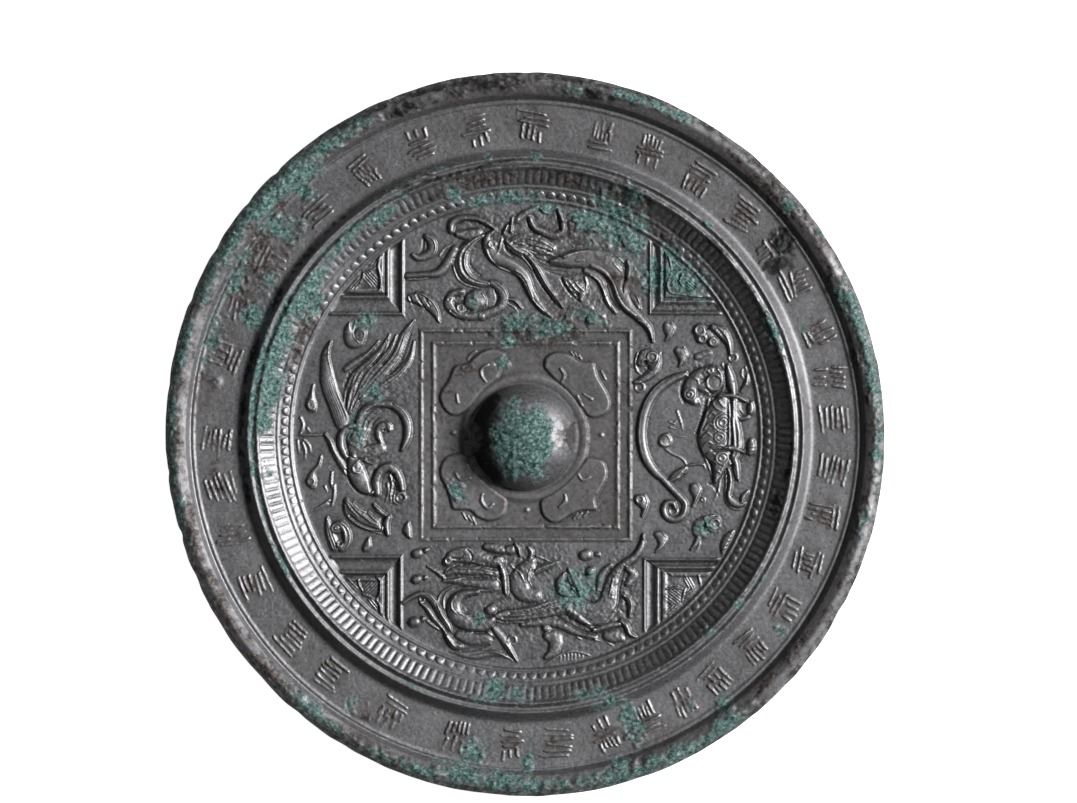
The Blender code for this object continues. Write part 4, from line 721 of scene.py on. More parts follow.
DRAGON_CUTS = (
    (.3, -5.6, -45.8, -1, -45.5, 3, -44.8, 7, -43.6, 10, -42.6), (.3, -4.4, -46.8, 0, -46.4, 4, -45.9, 8, -45.2),
    (.3, -4, -44.7, 0, -44.3, 4, -43.2, 8, -41.8), (.35, -9.8, -43, -8.6, -42, -6.6, -41.4, -4, -41),
    (.6, -12.8, -49.4, -10.2, -49.8, -8.2, -51), (.45, -16, -54, -12, -53.4, -9, -52.6),
    (.3, -18.6, -30.8, -16.8, -31.1, -15.6, -30.2), (.3, -14.6, -28.8, -13.4, -30.4, -13.8, -31.8),
    (.35, -15.8, -32.6, -14, -32.2, -12, -32.6), (.35, 10, -35, 9.8, -36.6, 11, -37.5, 12.4, -38.4, 12.8, -39.4),
    (.35, 18.4, -39.2, 19.2, -37.4, 20.1, -35.5, 21.4, -33.7),
    (.4, 24.8, -33.2, 24.2, -35.4, 23.5, -38.6, 23.2, -41.6, 22.6, -43.6, 21, -45.4, 19.8, -46.8),
    (.4, 8, -45.7, 10, -46.9, 12, -48.1, 14.2, -49.3, 17, -49.8, 20, -49.2),
    (.35, 14.4, -41.2, 16.4, -42, 18.6, -41.4), (.35, -4.2, -35.4, -3.8, -37.4, -3.9, -39.6),
    (.3, -2.6, -28.2, -2.5, -29.4, -3.4, -30.2),
)
DRAGON_RINGS = ((-19.4, -31.5, 0.8, 0.35), (-3.4, -51.4, 1.0, 0.3), (-26, -41.2, 0.6, 0.25))

# The long-tailed bird to the left of the square.
BIRD_BODIES = (
    (.7, 7, (-48.9, 23.4, .3), (-50, 20.5, 1), (-50.1, 17, 1.4), (-49.8, 13.5, 1.7), (-48.9, 10.5, 1.8),
     (-47.6, 7.5, 1.9), (-46.5, 4.5, 2), (-46, 2.6, 1.6)),
    (.45, 0, (-36.9, 23.5, .3), (-38.6, 21.2, .7), (-41, 19.2, .9), (-43.6, 17.7, .9), (-45.2, 16.4, .7)),
    (.5, 3, (-34.1, 25.2, .3), (-35.8, 21.6, .9), (-38.6, 18.6, 1.2), (-41.8, 15.6, 1.5), (-43.4, 11, 1.4),
     (-44.3, 6, .9)),
    (.5, 3, (-32.4, 25, .3), (-33.8, 21.6, .8), (-36.4, 18.4, 1.2), (-39.4, 15, 1.5), (-41.8, 10.6, 1.2),
     (-43.4, 6.4, .7)),
    (.55, 3, (-28, 28.8, .3), (-30.4, 25.4, .9), (-32.2, 20.8, 1.2), (-35, 17, 1.4), (-38.6, 13, 1.5),
     (-41.4, 9.4, .9)),
    (.5, 2, (-28, 23.4, .3), (-29, 19.2, .8), (-31.4, 15.9, 1.1), (-35, 13.2, 1.4), (-38.6, 10.8, 1.2)),
    (.75, 0, (-42.2, 1.6, .9), (-41.4, 4.6, 1), (-39.2, 6.9, 1), (-36.2, 7.8, .9), (-33.2, 7.3, 1),
     (-30.8, 5.4, 1.1), (-29.6, 2.4, 1.1), (-29.7, -.6, 1), (-31, -3.8, .5)),
    (.5, 0, (-36.2, -2, .6), (-37, .2, .9), (-36.3, 2.2, 1), (-34.7, 2.6, .9), (-34.2, 1.3, .6)),
    (.8, 0, (-43, 2.3, .7), (-45.2, 1.6, .9), (-46.3, -.5, 1), (-46.2, -3, 1), (-45, -5.4, .8)),
    (.6, 0, (-41, 1, 1.6), (-42.4, -2, 2.2), (-41.8, -4.6, 2), (-39, -4.4, 2), (-36.6, -3.4, 1.6)),
    (.85, 0, (-43.4, -5.6, 1.2), (-42.6, -8.6, 2.2), (-41.6, -11.4, 2.3), (-40, -13.4, 1.6), (-38.6, -14.3, .8)),
    (.8, 0, (-37.2, -14.6, 1), (-37.4, -11.4, 1.1), (-36.2, -8.9, 1.2), (-34.2, -8.1, 1.2), (-32.4, -9.4, 1.1),
     (-31.4, -11.6, 1), (-31, -13.6, .8)),
    (.5, 0, (-50.2, .2, .5), (-48.9, -1.9, .8), (-47.7, -4.6, .9), (-45.9, -7.8, .9), (-44, -10.6, .6)),
    (.8, 0, (-34.4, -20.7, .8), (-34.9, -22.4, .9), (-34.5, -24.9, .6)),
    (.6, 0, (-45, -16.4, .7), (-43.4, -18.8, 2), (-41, -20.9, 2.4), (-38, -22.4, 1.8), (-36.4, -23.4, 1)),
    (.45, 0, (-38, -17.6, .5), (-36.8, -19, .7), (-35, -20.2, .5)),
)
BIRD_LINES = (
    (.3, -45.6, 7.4, -45.2, 10.6, -44.2, 13.6, -42.8, 16.2), (.3, -44.9, 6.4, -44.1, 9.8, -42.8, 12.8, -41, 15.4),
    (.3, -44.2, 5.6, -43.1, 8.8, -41.5, 11.4, -39.4, 13.4), (.35, -43.6, 5.4, -42, 8.4, -39.8, 9.8, -37.4, 10.2),
    (.35, -48.8, 23.4, -49.5, 20, -48.8, 17, -48.1, 14, -47.2, 11, -46, 8, -44.8, 5, -44.4, 3.2),
    (.3, -40.6, 1.4, -40, 3.8, -38.4, 5.4, -36.4, 6), (.3, -39.6, 1, -39, 3, -37.6, 4.4),
    (.3, -41.7, 5.7, -39.4, 8, -36.4, 8.7, -33.4, 8.3), (.3, -33, 7.9, -30.6, 6.2, -29, 3.6, -28.7, 1),
    (.35, -34.9, 3.1, -33.7, 2.4, -33.6, 1.4, -34.5, .7), (.3, -36, 1.6, -35.2, 1.6, -35.1, .8),
    (.35, -42.2, -6.9, -43.3, -7.9, -43.1, -9.2, -41.8, -9.5), (.3, -40.4, -6.4, -38.6, -7.2, -37, -6.4),
    (.4, -56.5, .1, -53.4, 0, -50.6, .1), (.35, -50.3, .3, -49, -1.2, -48.3, -3.4, -46.9, -6),
    (.42, -56.5, 4.4, -55.8, 2.8, -56.1, 1.2, -56.8, 0), (.35, -55.6, -1.2, -54.3, -2.6, -54, -4.4),
    (.35, -57.2, -1.4, -56.9, -4.4), (.35, -56, -1.8, -55.3, -3.8, -55.4, -6), (.35, -54.8, 1.8, -54.2, .9),
    (.4, -34, -10.2, -33.5, -12.4, -33.9, -14.8, -33.8, -16.8), (.35, -34.7, -12.2, -34.4, -14.4, -35.2, -16.8),
    (.35, -33, -11.2, -32.2, -12.6, -32, -14.2), (.3, -33, -15.2, -33, -16.8, -32, -17.4),
    (.35, -44.8, -16, -43.3, -17.9, -41.4, -19.8, -39.8, -21.2), (.3, -44.9, -16.9, -43.6, -18.8, -42, -20.4),
    (.42, -43.2, -16.9, -41.9, -18.5, -40.2, -19.3), (.4, -40.8, -20, -38.9, -21.7, -37.2, -22.5),
    (.4, -39.4, -19.4, -38.3, -20.7, -37.1, -21.8), (.3, -38.2, -17.2, -37.2, -18.3, -36.3, -18.8),
    (.35, -45.5, -17.6, -45, -20, -42.6, -22.2, -39.4, -23.8, -36.4, -24.7),
    (.42, -48.6, -9.4, -48.8, -12, -48.4, -13.4), (.45, -48, -12.6, -48, -15, -48.6, -17.8),
    (.35, -50.4, -12.8, -49.8, -14.2), (.35, -49.3, -16.4, -51, -17.6, -52.8, -18.5),
    (.3, -49.6, -17.3, -51.6, -18.6, -53.2, -19.1),
)
BIRD_CUTS = (
    (.4, -43.6, 15.9, -41.4, 18, -39, 20.2, -37.4, 22.4), (.4, -38.4, 17.4, -36.4, 20, -34.6, 23.6),
    (.4, -35.8, 17.6, -33.6, 20.4, -31.9, 24), (.4, -34, 15.4, -31.6, 18, -30.2, 21.4, -28.8, 25.4),
    (.35, -45.4, 12.4, -44.2, 15.6), (.3, -39.9, 5.6, -38, 6.9, -35.6, 7.2),
    (.4, -38.6, 1.2, -38.2, 3.2, -36.8, 4.3), (.45, -38.7, -14, -38.8, -11.4, -38, -9, -36.4, -7.4, -34, -6.8),
    (.4, -45, -8.8, -43.8, -12, -41.4, -14.6, -38.4, -15.4), (.35, -44.6, -4.6, -42.8, -6, -40.6, -5.8),
    (.35, -33.2, -9.8, -32.6, -11.4), (.35, -44, -20.2, -41.5, -22.1, -38.4, -23.3, -36.4, -23.8),
    (.4, -36, -21, -36.3, -23.4),
)
BIRD_RINGS = ((-35.4, 1.2, 0.5, 0.3), (-31.3, -15.7, 1.1, 0.4), (-43, -0.9, 1.6, 0.4), (-41.5, 25.2, 1.2, 0.35))

# The tortoise and the snake that loops in front of it, to the right of the square.
TORTOISE_BODIES = (
    (.8, 0, (40.2, 15.2, .7), (37, 14, 1), (34, 12.2, 1.15), (31.5, 9.4, 1.2), (29.8, 5.5, 1.2), (29.1, 1.5, 1.2),
     (29.3, -2.5, 1.2), (30.5, -6.4, 1.2), (32.4, -9.2, 1.1), (34.6, -11.2, .9), (36.6, -13.4, .9),
     (38.7, -15.5, .9), (40, -17, .8), (40, -18.8, .8), (39, -20.6, .9), (37, -21.2, .9), (35.2, -20.3, .9),
     (34.7, -18.4, .9), (35.6, -16.9, .8), (37.1, -17.1, .7), (37.6, -18.3, .5)),
    (.5, 0, (36, -11.5, .5), (38, -10, 1.2), (40, -8.4, .6)),
    (.7, 0, (48, 16.4, .9), (44.6, 15.6, 1.5), (42, 13.4, 1.8), (41.2, 10.4, 1.9), (42.4, 8.2, .9)),
    (.6, 0, (43, 12.6, 1.2), (45.4, 12.2, 1.8), (47.4, 13.4, 2.3), (48.4, 15.4, 1.4)),
    (1, 0, (49.3, 9.2, 1.6), (48.6, 5.6, 3.2), (47.6, 1.2, 4.1), (47.6, -2.4, 3.9), (48.8, -6, 2.6),
     (48.2, -9.4, 1.4), (47.6, -11.6, .6)),
    (.95, 0, (50.7, 17.4, .5), (51.2, 15, 1.1), (51.7, 12.6, 1.2), (52.2, 10.4, .8)),
    (1.1, 0, (49.8, 9.9, .7), (52.2, 9.8, .8), (54, 9.2, .7), (55.2, 8.5, .5)),
    (1, 3, (52.4, 8.6, 1.2), (52.3, 4, 1.3), (52.8, 0, 1.6), (52.8, -4, 1.6), (51.4, -7, .9)),
    (1.15, 0, (49.6, -3.2, .6), (52.4, -3.4, 1), (54.6, -4.2, .6)),
    (.95, 0, (52.3, -5.4, .7), (52.9, -8, .9), (53.3, -11.2, .4)),
    (.6, 0, (55.2, 17, .4), (56.1, 15.6, .7), (55.5, 13.4, .7), (54.2, 11, .4)),
    (.7, 0, (52.7, 7.6, .6), (52.9, 5.4, .7), (54, 4.1, .7), (55.7, 4.5, .5)),
    (.7, 0, (56.4, 5.8, .8), (56.7, 7, 1.2), (56.6, 7.8, .8)),
    (.7, 0, (56.6, -1.4, .8), (56.8, -3, 1.4), (56.2, -4.4, .8)),
    (.8, 0, (50.8, -8.4, .5), (51.4, -10.4, .7), (51.3, -13, .7), (50.9, -15.2, .7), (51.9, -16.8, 1.2),
     (53.8, -17.6, .7), (55, -17, .4)),
    (.6, 0, (55.8, -14.2, .5), (54.7, -15.2, .7), (54.2, -16.6, .5)), (.5, 0, (35.2, -.6, 1.2), (34.6, -1.9, 1.3)),
    (.35, 0, (43, 19.6, .9), (44.6, 20.3, .9), (46.2, 20.6, .6)),
)
TORTOISE_LINES = (
    (.3, 39.4, 15.6, 36, 14.6, 32.8, 12.4, 30.4, 9.4, 28.9, 5.6, 28.3, 1.6, 28.5, -2.6, 29.8, -7),
    (.35, 35.2, -3.6, 36.6, -4.6, 38.6, -5.5, 39.8, -6.5, 40.4, -7.7),
    (.35, 40.4, -7.7, 42.5, -7.3, 44.6, -7.4, 45, -8.4), (.3, 36.4, -11.6, 38, -10.4, 39.2, -9.2),
    (.25, 37.4, -11.4, 38.8, -10.4),
    (.3, 46, 9, 45.4, 6, 44.9, 3.8, 43.6, .4, 43.4, -1.6, 44.4, -4.4, 45.8, -7.6, 47, -11.2),
    (.35, 51, 8.6, 51.1, 2, 51, -4), (.3, 52.2, 8.4, 52.1, 2, 52.3, -2.6), (.3, 53.3, 3.4, 53.6, 0, 53.4, -2.6),
    (.3, 46.8, 9, 47.2, 7.4, 48.2, 6.4, 49.6, 5.9), (.3, 48.4, 8.8, 49.3, 7.4, 50.4, 6.8),
    (.3, 45.8, 4.6, 46.8, 5.8, 47.6, 5), (.3, 44.8, 1.4, 45.8, 2.8, 47, 2.4, 47.4, 1),
    (.3, 44.2, -.6, 45.6, .6, 46.6, -.4), (.3, 44.6, -2.8, 45.8, -1.6, 47, -2.4),
    (.3, 45.6, -4.6, 47, -4.4, 47.6, -5.6), (.3, 46.4, -7, 47.6, -6.6, 47.8, -8.2),
    (.3, 47.8, -9, 48.8, -9.4, 49, -11), (.3, 46.4, -2.9, 48.6, -2.6, 50.4, -3),
    (.3, 49.8, -7.6, 49, -9.4, 48.6, -12.4, 48, -14.8, 47.2, -16.4),
    (.3, 50.2, -9, 50.3, -12.8, 50, -15.4, 50.8, -17.6, 52.6, -18.6, 54.6, -18.5),
    (.3, 53.7, 8, 53.8, 6.3, 54.6, 5.4), (.3, 54.3, 16.4, 54.2, 15, 54.8, 14), (.3, 55.6, 12.6, 54.6, 11.8),
    (.3, 55.7, -2, 57.6, -2), (.3, 55.7, -2.9, 57.6, -2.9), (.3, 55.9, -3.8, 57.4, -3.8),
    (.35, 48.2, 16.6, 49.2, 14.8, 49.2, 12.6, 48, 10.9), (.35, 49.4, 17.8, 50, 15.6, 50, 13, 49.4, 11),
    (.3, 45.2, 16.6, 46.4, 15.6, 47.6, 15.8), (.35, 43.2, 9.2, 43.8, 7.6), (.3, 42, 14.4, 43.2, 13.8, 43.4, 12.6),
    (.3, 38, 6, 38.5, 4.6, 39, 3.2, 39.3, 1.4), (.25, 36, 3.4, 37.2, 2.8, 37.8, 3.6), (.25, 36.2, 2, 37.4, 1.6),
    (.25, 38.2, -.4, 39.8, -.4), (.3, 35.6, .3, 36.1, -1, 35.9, -2.4),
)
TORTOISE_CUTS = (
    (.45, 39.8, 8.2, 39, 10.4, 39.3, 13, 40.6, 15.4, 43.4, 16.9, 46.6, 17.6), (.5, 44.6, 9.8, 46.8, 9.2, 49, 9.4),
    (.4, 45.2, 9.4, 44.6, 6, 44.1, 3.6, 42.7, .4), (.4, 46.6, 10.4, 45.3, 11.6),
    (.35, 49.6, 17.6, 50.2, 15, 50.2, 12), (.35, 46, -12.2, 47.4, -13, 48.4, -15.2),
    (.3, 50.7, 8.4, 50.6, 0, 50.5, -2.4), (.35, 47, -3.9, 49.6, -3.8, 51, -4.2),
    (.4, 51.2, -5.4, 51.9, -8.4, 51.9, -11), (.3, 39.6, -9.9, 38.4, -11.6),
)
TORTOISE_RINGS = (
    (49.5, 3.1, .8, .3), (49.5, 3.1, 1.6, .3), (49.5, 3.1, 2.35, .25), (49.3, -5.8, .7, .3), (49.3, -5.8, 1.5, .3),
    (48.8, -.6, .7, .28), (48.8, -.6, 1.35, .28), (41.2, 10.2, .6, .35), (41.2, 10.2, 1.45, .38),
    (47.3, 13.2, 1.9, .4), (35, -1.3, 1.4, .35), (44.5, -16.2, .45, .25), (37, -19, 1, .35), (52, 19.4, 1, .35),
    (46.3, 16, .6, .3), (28.6, 12, 1.1, .35),
)

# The clouds, drops and curls that fill the field between the creatures.
CLOUD_BODIES = (
    (.6, 0, (-44.2, 28, .4), (-44.4, 25.8, 1.2), (-43.6, 23.4, 1.6), (-41.8, 23.4, 1.4), (-41.2, 25.6, 1.6)),
    (.5, 0, (-53.2, 12.6, .3), (-53.6, 10.4, .6), (-53.8, 7.6, 1.5), (-53.4, 6.6, 1)),
    (.5, 0, (-51.3, -5.3, .3), (-51.9, -7.6, .5), (-53.4, -9.6, .8), (-53.7, -11.6, 1.4), (-53.4, -12.6, 1)),
    (.6, 4, (-49.8, -20.8, .4), (-49.4, -23, 1), (-48.8, -25.4, 1.3), (-47.8, -28, 1.4)),
    (.65, 0, (-47.4, -23.2, 1.5), (-46.2, -22.4, 1.2), (-45, -24.4, 1.2), (-44.8, -26.8, 1.1), (-46, -28.4, 1),
     (-47.2, -27.6, .7)),
    (.6, 0, (-39.3, -26, .5), (-39.6, -27.6, 1.1), (-40.2, -28.6, .8)),
    (.6, 0, (-29.5, -22.2, .6), (-29.7, -24, 1.2), (-29, -25.6, .5)),
    (.55, 0, (35.1, 23.8, .3), (36, 25, .8), (36, 26.6, 1.5), (35.4, 27.4, 1)),
    (.55, 0, (38.5, 17.2, .3), (39.2, 18.8, .8), (39, 20.6, 1.5), (38.2, 21.2, 1)),
    (.6, 0, (27.4, 13.2, .6), (30, 14.4, 1.1), (32.2, 16.4, 1.4), (32, 19.2, 2), (29.8, 20, 1.5), (28.6, 18, .9)),
    (.55, 0, (41.9, -17.8, .3), (42.7, -15.8, .6), (42.5, -13.6, 1.5), (42.2, -13, 1.1)),
    (.55, 0, (29.2, -20.4, .3), (29.8, -18.4, .8), (29, -16.4, 1.7), (28.2, -16, 1.1)),
    (.55, 0, (32.6, -29.4, .3), (34, -27.6, .8), (34, -25.6, 1.4), (33, -25, .9)),
    (.65, 0, (46.8, -23.4, 1.2), (46.6, -21.8, 1.8), (47.6, -21.6, 1.4)),
    (.5, 0, (45.4, -20.6, .6), (43.4, -22.4, 1.3), (43.2, -24.4, 1.4), (44.6, -25, .8)),
    (.45, 0, (43.4, -25.6, .7), (42.6, -27.4, .6), (41.4, -28.8, .3)),
    (.5, 0, (52, -24.2, .5), (50.8, -26.2, 1.4), (50, -28.4, 1.3), (49.8, -29.8, .6)),
    (.75, 0, (51.4, 20.2, .4), (51, 23, .9), (49.4, 25.6, 1.4), (47, 27, .9)),
    (.6, 0, (43.6, 26.2, 1.7), (44.2, 24.2, 1.4), (45.6, 25.4, 1.2), (47, 23.4, 1.4)),
)
CLOUD_LINES = (
    (.3, -42.6, 28.4, -43.2, 26.4, -42.9, 24.4, -41.8, 23.2),
    (.3, -53.8, 9, -54.6, 8, -54.2, 6.6, -53, 6.4, -52.6, 7.6),
    (.4, -46.4, -21.9, -44.8, -23, -43.9, -25, -44.2, -27.2, -45.2, -28.5),
    (.3, -46, -23, -45.3, -24.6, -45.2, -26.6), (.3, 33.7, 20.6, 33.4, 18.6, 32.4, 16.8, 30.4, 15, 28.4, 13.8),
    (.35, 28, 20.4, 27.5, 18.4, 27.9, 16.2, 29, 15.2), (.3, 48, 27.4, 49.4, 26, 50.6, 24.2, 51.2, 21.8),
    (.3, 47.6, 26.2, 48.8, 25, 49.8, 23.2), (.3, 45.2, 27.8, 46.6, 27.6, 47.8, 27.2),
    (.3, 36.6, 28, 37.4, 26.8, 36.8, 25.2, 35.7, 24), (.3, 39.6, 22, 40.5, 20.3, 39.8, 18.5, 38.8, 17.3),
    (.3, 43, -12.2, 43.9, -13.5, 43.3, -15, 42.4, -17), (.3, 29.8, -15, 30.7, -16.5, 30.2, -18.5, 29.4, -20.3),
    (.3, 34.2, -24.4, 35.4, -25.7, 34.8, -27.4, 33.2, -29.2), (.3, 44.8, -20.8, 45.4, -22.6, 44.8, -24.4),
    (.25, 46.2, -20.2, 47.8, -20, 48.8, -21.3, 48.7, -23), (.3, 43.8, -26, 43.4, -28, 42.4, -29.4),
    (.25, 50, -25, 51.8, -24.7), (.25, 49.7, -25.9, 51.6, -25.5), (.25, 49.5, -26.8, 51.4, -26.4),
    (.25, 49.3, -27.7, 51, -27.3), (.25, 49.3, -28.6, 50.7, -28.2),
)
CLOUD_RINGS = (
    (-47.4, -23.3, 1.2, .4), (-47.4, -23.3, .4, .3), (31.7, 19.5, 1.2, .35), (30, 18.2, .8, .3),
    (43.7, 26.3, 1.2, .4), (44.3, 24.1, .9, .35), (47.1, 23.3, 1, .35), (47.5, -22.3, 1.2, .35),
    (46.7, -22.6, .5, .3), (-53.8, -11.7, .9, .35), (28.6, -16.2, .9, .35), (-46.6, -27.3, .6, .3),
)

CARVED = (
    (BEAST_BODIES, BEAST_LINES, BEAST_CUTS, BEAST_RINGS), (DRAGON_BODIES, DRAGON_LINES, DRAGON_CUTS, DRAGON_RINGS),
    (BIRD_BODIES, BIRD_LINES, BIRD_CUTS, BIRD_RINGS),
    (TORTOISE_BODIES, TORTOISE_LINES, TORTOISE_CUTS, TORTOISE_RINGS),
    (CLOUD_BODIES, CLOUD_LINES, (), CLOUD_RINGS),
)
MARK_SPACING = 0.7
WALL, STRIPE_DEPTH = 0.6, 0.22
LINE_RISE, CUT_DEPTH = 0.24, 0.32
LINE_END, FULL_LINE = 0.55, 0.3


def smooth_path(marks):
    """Marks (x, y, half width) along a Catmull-Rom curve, close together."""
    padded = [marks[0], *marks, marks[-1]]
    path = []
    for before, start, end, after in zip(padded, padded[1:], padded[2:], padded[3:]):
        steps = max(1, round(math.dist(start[:2], end[:2]) / MARK_SPACING))
        for step in range(steps):
            t = step / steps
            weights = (
                -0.5 * t**3 + t**2 - 0.5 * t, 1.5 * t**3 - 2.5 * t**2 + 1.0,
                -1.5 * t**3 + 2.0 * t**2 + 0.5 * t, 0.5 * t**3 - 0.5 * t**2,
            )
            path.append([sum(w * c[k] for w, c in zip(weights, (before, start, end, after))) for k in range(3)])
    path.append(list(marks[-1]))
    return path


def follow(x, y, marks):
    """The places near a stroke, and there how far out of it they lie, from 0 to 1, its half
    width, and which side of it they are on."""
    path = smooth_path(marks)
    xs, ys, widths = zip(*path)
    wide = max(widths)
    near = (x > min(xs) - wide) & (x < max(xs) + wide) & (y > min(ys) - wide) & (y < max(ys) + wide)
    px, py = x[near], y[near]
    best, width, side = np.ones_like(px), np.zeros_like(px), np.ones_like(px)
    for (x0, y0, w0), (x1, y1, w1) in zip(path, path[1:]):
        dx, dy = x1 - x0, y1 - y0
        t = np.clip(((px - x0) * dx + (py - y0) * dy) / (dx * dx + dy * dy + 1e-9), 0.0, 1.0)
        here = w0 + (w1 - w0) * t
        share = np.hypot(px - x0 - t * dx, py - y0 - t * dy) / np.maximum(here, 0.08)
        closer = share < best
        best[closer], width[closer] = share[closer], here[closer]
        side[closer] = np.sign((px - x0) * dy - (py - y0) * dx)[closer]
    return near, best, width, side


def raise_body(height, x, y, body):
    """Lifts height to a form with steep walls and a low crown, striped lengthwise if asked."""
    rise, stripes, *marks = body
    near, share, width, side = follow(x, y, marks)
    wall = fade_in((1.0 - share) * width, WALL)
    lifted = rise * (wall * (2 - wall) * 0.5 + 0.5 * (1 - share**2)) * (share < 1.0)
    if stripes:
        groove = 0.5 - 0.5 * np.cos(math.pi * stripes * (share * side + 1.0))
        lifted -= STRIPE_DEPTH * groove * wall * (share < 1.0)
    height[near] = np.maximum(height[near], lifted)


def draw_line(height, x, y, line):
    """A thin rounded line, its ends drawn out, from 0 at its edge to 1 along its middle."""
    half, *numbers = line
    marks = [(numbers[k], numbers[k + 1], half) for k in range(0, len(numbers), 2)]
    marks[-1] = (*marks[-1][:2], LINE_END * half)
    near, share, width, side = follow(x, y, marks)
    height[near] = np.maximum(height[near], (1.0 - share**2) * np.minimum(width / FULL_LINE, 1.3))


def draw_ring(height, x, y, ring_line):
    """A thin rounded circle."""
    at_x, at_y, radius, half = ring_line
    share = np.abs(np.hypot(x - at_x, y - at_y) - radius) / half
    near = share < 1.0
    height[near] = np.maximum(height[near], 1.0 - share[near] ** 2)


def figures(x, y):
    """The creatures and clouds in mm above the field."""
    forms, raised, sunk = np.zeros_like(x), np.zeros_like(x), np.zeros_like(x)
    for bodies, lines, cuts, rings in CARVED:
        for body in bodies:
            raise_body(forms, x, y, body)
        for line in lines:
            draw_line(raised, x, y, line)
        for circle in rings:
            draw_ring(raised, x, y, circle)
        for line in cuts:
            draw_line(sunk, x, y, line)
    return forms + LINE_RISE * raised - CUT_DEPTH * np.minimum(sunk, 0.4 + forms / CUT_DEPTH)


# The corner brackets: the way to the corner, then the outer and inner crests in x and in y.
BRACKETS = (
    (-1, 1, 30.9, 34.5, 30.4, 34.6), (1, 1, 31.3, 33.9, 30.6, 33.4), (-1, -1, 31.3, 34.5, 30.6, 34.4),
    (1, -1, 29.9, 33.1, 31.2, 33.2),
)
BRACKET_START = 28.5
OUTER_CREST, OUTER_CREST_HALF = 0.5, 0.36
INNER_CREST, INNER_CREST_HALF = 0.34, 0.45
HOLLOW_DEPTH, GROOVE_DEPTH = 0.6, 0.3
# Their leaf fillings: lines as above, and ribbed leaves as x, y, half length, half width,
# direction in degrees.
LEAF_LINES = (
    (.35, -36.2, 46, -37, 42.3, -36.3, 39.6, -36.3, 37.2, -36.9, 36, -39, 35.7, -44, 35.8),
    (.35, -40.7, 40.8, -40.8, 39.4, -41.6, 38), (.25, -40.2, 40.7, -38.8, 41.2, -37.2, 42.2),
    (.25, -39.6, 42.8, -37.8, 44.4),
    (.35, -37.4, -35.6, -36.4, -36.6, -36.5, -39.6, -37.3, -41.3, -36.4, -42.9, -36.3, -44.8),
    (.35, -42, -36.5, -41.6, -37.8, -40.9, -39), (.25, -43.6, -35.6, -40, -35.4, -37.6, -35.7),
    (.25, -40.8, -40, -39, -40.6, -37.4, -41.4), (.3, 43.4, -35.4, 43.8, -37, 44, -38.6),
    (.3, 40, -38.6, 39.6, -40, 39.3, -41.8), (.3, 35.4, -38.6, 38, -38.3, 39.6, -38.8),
    (.35, 35.9, 45, 36.6, 41, 35.6, 38, 36.4, 35.8, 40, 35.2, 44, 34.6), (.3, 39.4, 40.4, 38.6, 38.6, 39.6, 37),
)
LEAVES = (
    (-38.8, 39.2, 2.7, 2, -48), (-43, 38.2, 2.2, 1.9, 48), (-37.9, 43.8, 2, 1.2, 52), (-39, -38.2, 2.5, 2.1, 45),
    (-38.4, -42.6, 1.9, 1.5, -50), (-43.6, -37.9, 2, 1.5, -45), (37.2, -40.4, 2.3, 2.2, -38),
    (41.4, -39.8, 2, 1.7, 38), (36.6, -44, 1.8, 1.5, 40), (41, -37, 2.4, 1, -60), (37.6, 38.4, 2, 2, 55),
    (38.6, 43, 2.2, 1.4, -45), (41.6, 37.4, 2, 1.6, -40),
)
LEAF_LINE_RISE, RIB_RISE, RIB_PITCH = 0.42, 0.26, 0.62


def brackets(x, y):
    """The corner brackets: two thin crests, a hollow between them, and a leaf filling."""
    relief = np.zeros_like(x)
    for way_x, way_y, first_x, second_x, first_y, second_y in BRACKETS:
        u, v = (x * way_x - first_x) / (second_x - first_x), (y * way_y - first_y) / (second_y - first_y)
        inside = np.minimum(u, v)
        close = (x * way_x > BRACKET_START) & (y * way_y > BRACKET_START)
        wide = np.where(u < v, second_x - first_x, second_y - first_y)
        past = (inside - 1) * wide
        crest = OUTER_CREST * np.exp(-((inside * wide / OUTER_CREST_HALF) ** 2))
        crest += INNER_CREST * np.exp(-((past / INNER_CREST_HALF) ** 2))
        hollow = HOLLOW_DEPTH * np.where(u < v, 1.0, 0.55) * np.sin(math.pi * np.clip(inside, 0.0, 1.0))
        groove = GROOVE_DEPTH * np.exp(-(((past - 0.75) / 0.3) ** 2))
        filling = 0.3 * fade_in(past - 0.9, 0.4) - 0.28 * fade_in(past - 2.0, 0.5)
        relief += np.where(close, crest - hollow - groove + filling, 0.0)
    drawn = np.zeros_like(x)
    for line in LEAF_LINES:
        draw_line(drawn, x, y, line)
    ribs = np.zeros_like(x)
    for at_x, at_y, long_half, short_half, degrees in LEAVES:
        c, s = math.cos(math.radians(degrees)), math.sin(math.radians(degrees))
        along, across = (x - at_x) * c + (y - at_y) * s, (y - at_y) * c - (x - at_x) * s
        within = np.clip(1.6 * (1 - (along / long_half) ** 2 - (across / short_half) ** 2), 0.0, 1.0)
        ribs = np.maximum(ribs, within * (0.5 + 0.5 * np.cos(2 * math.pi * across / RIB_PITCH)))
    return relief + LEAF_LINE_RISE * drawn + RIB_RISE * ribs


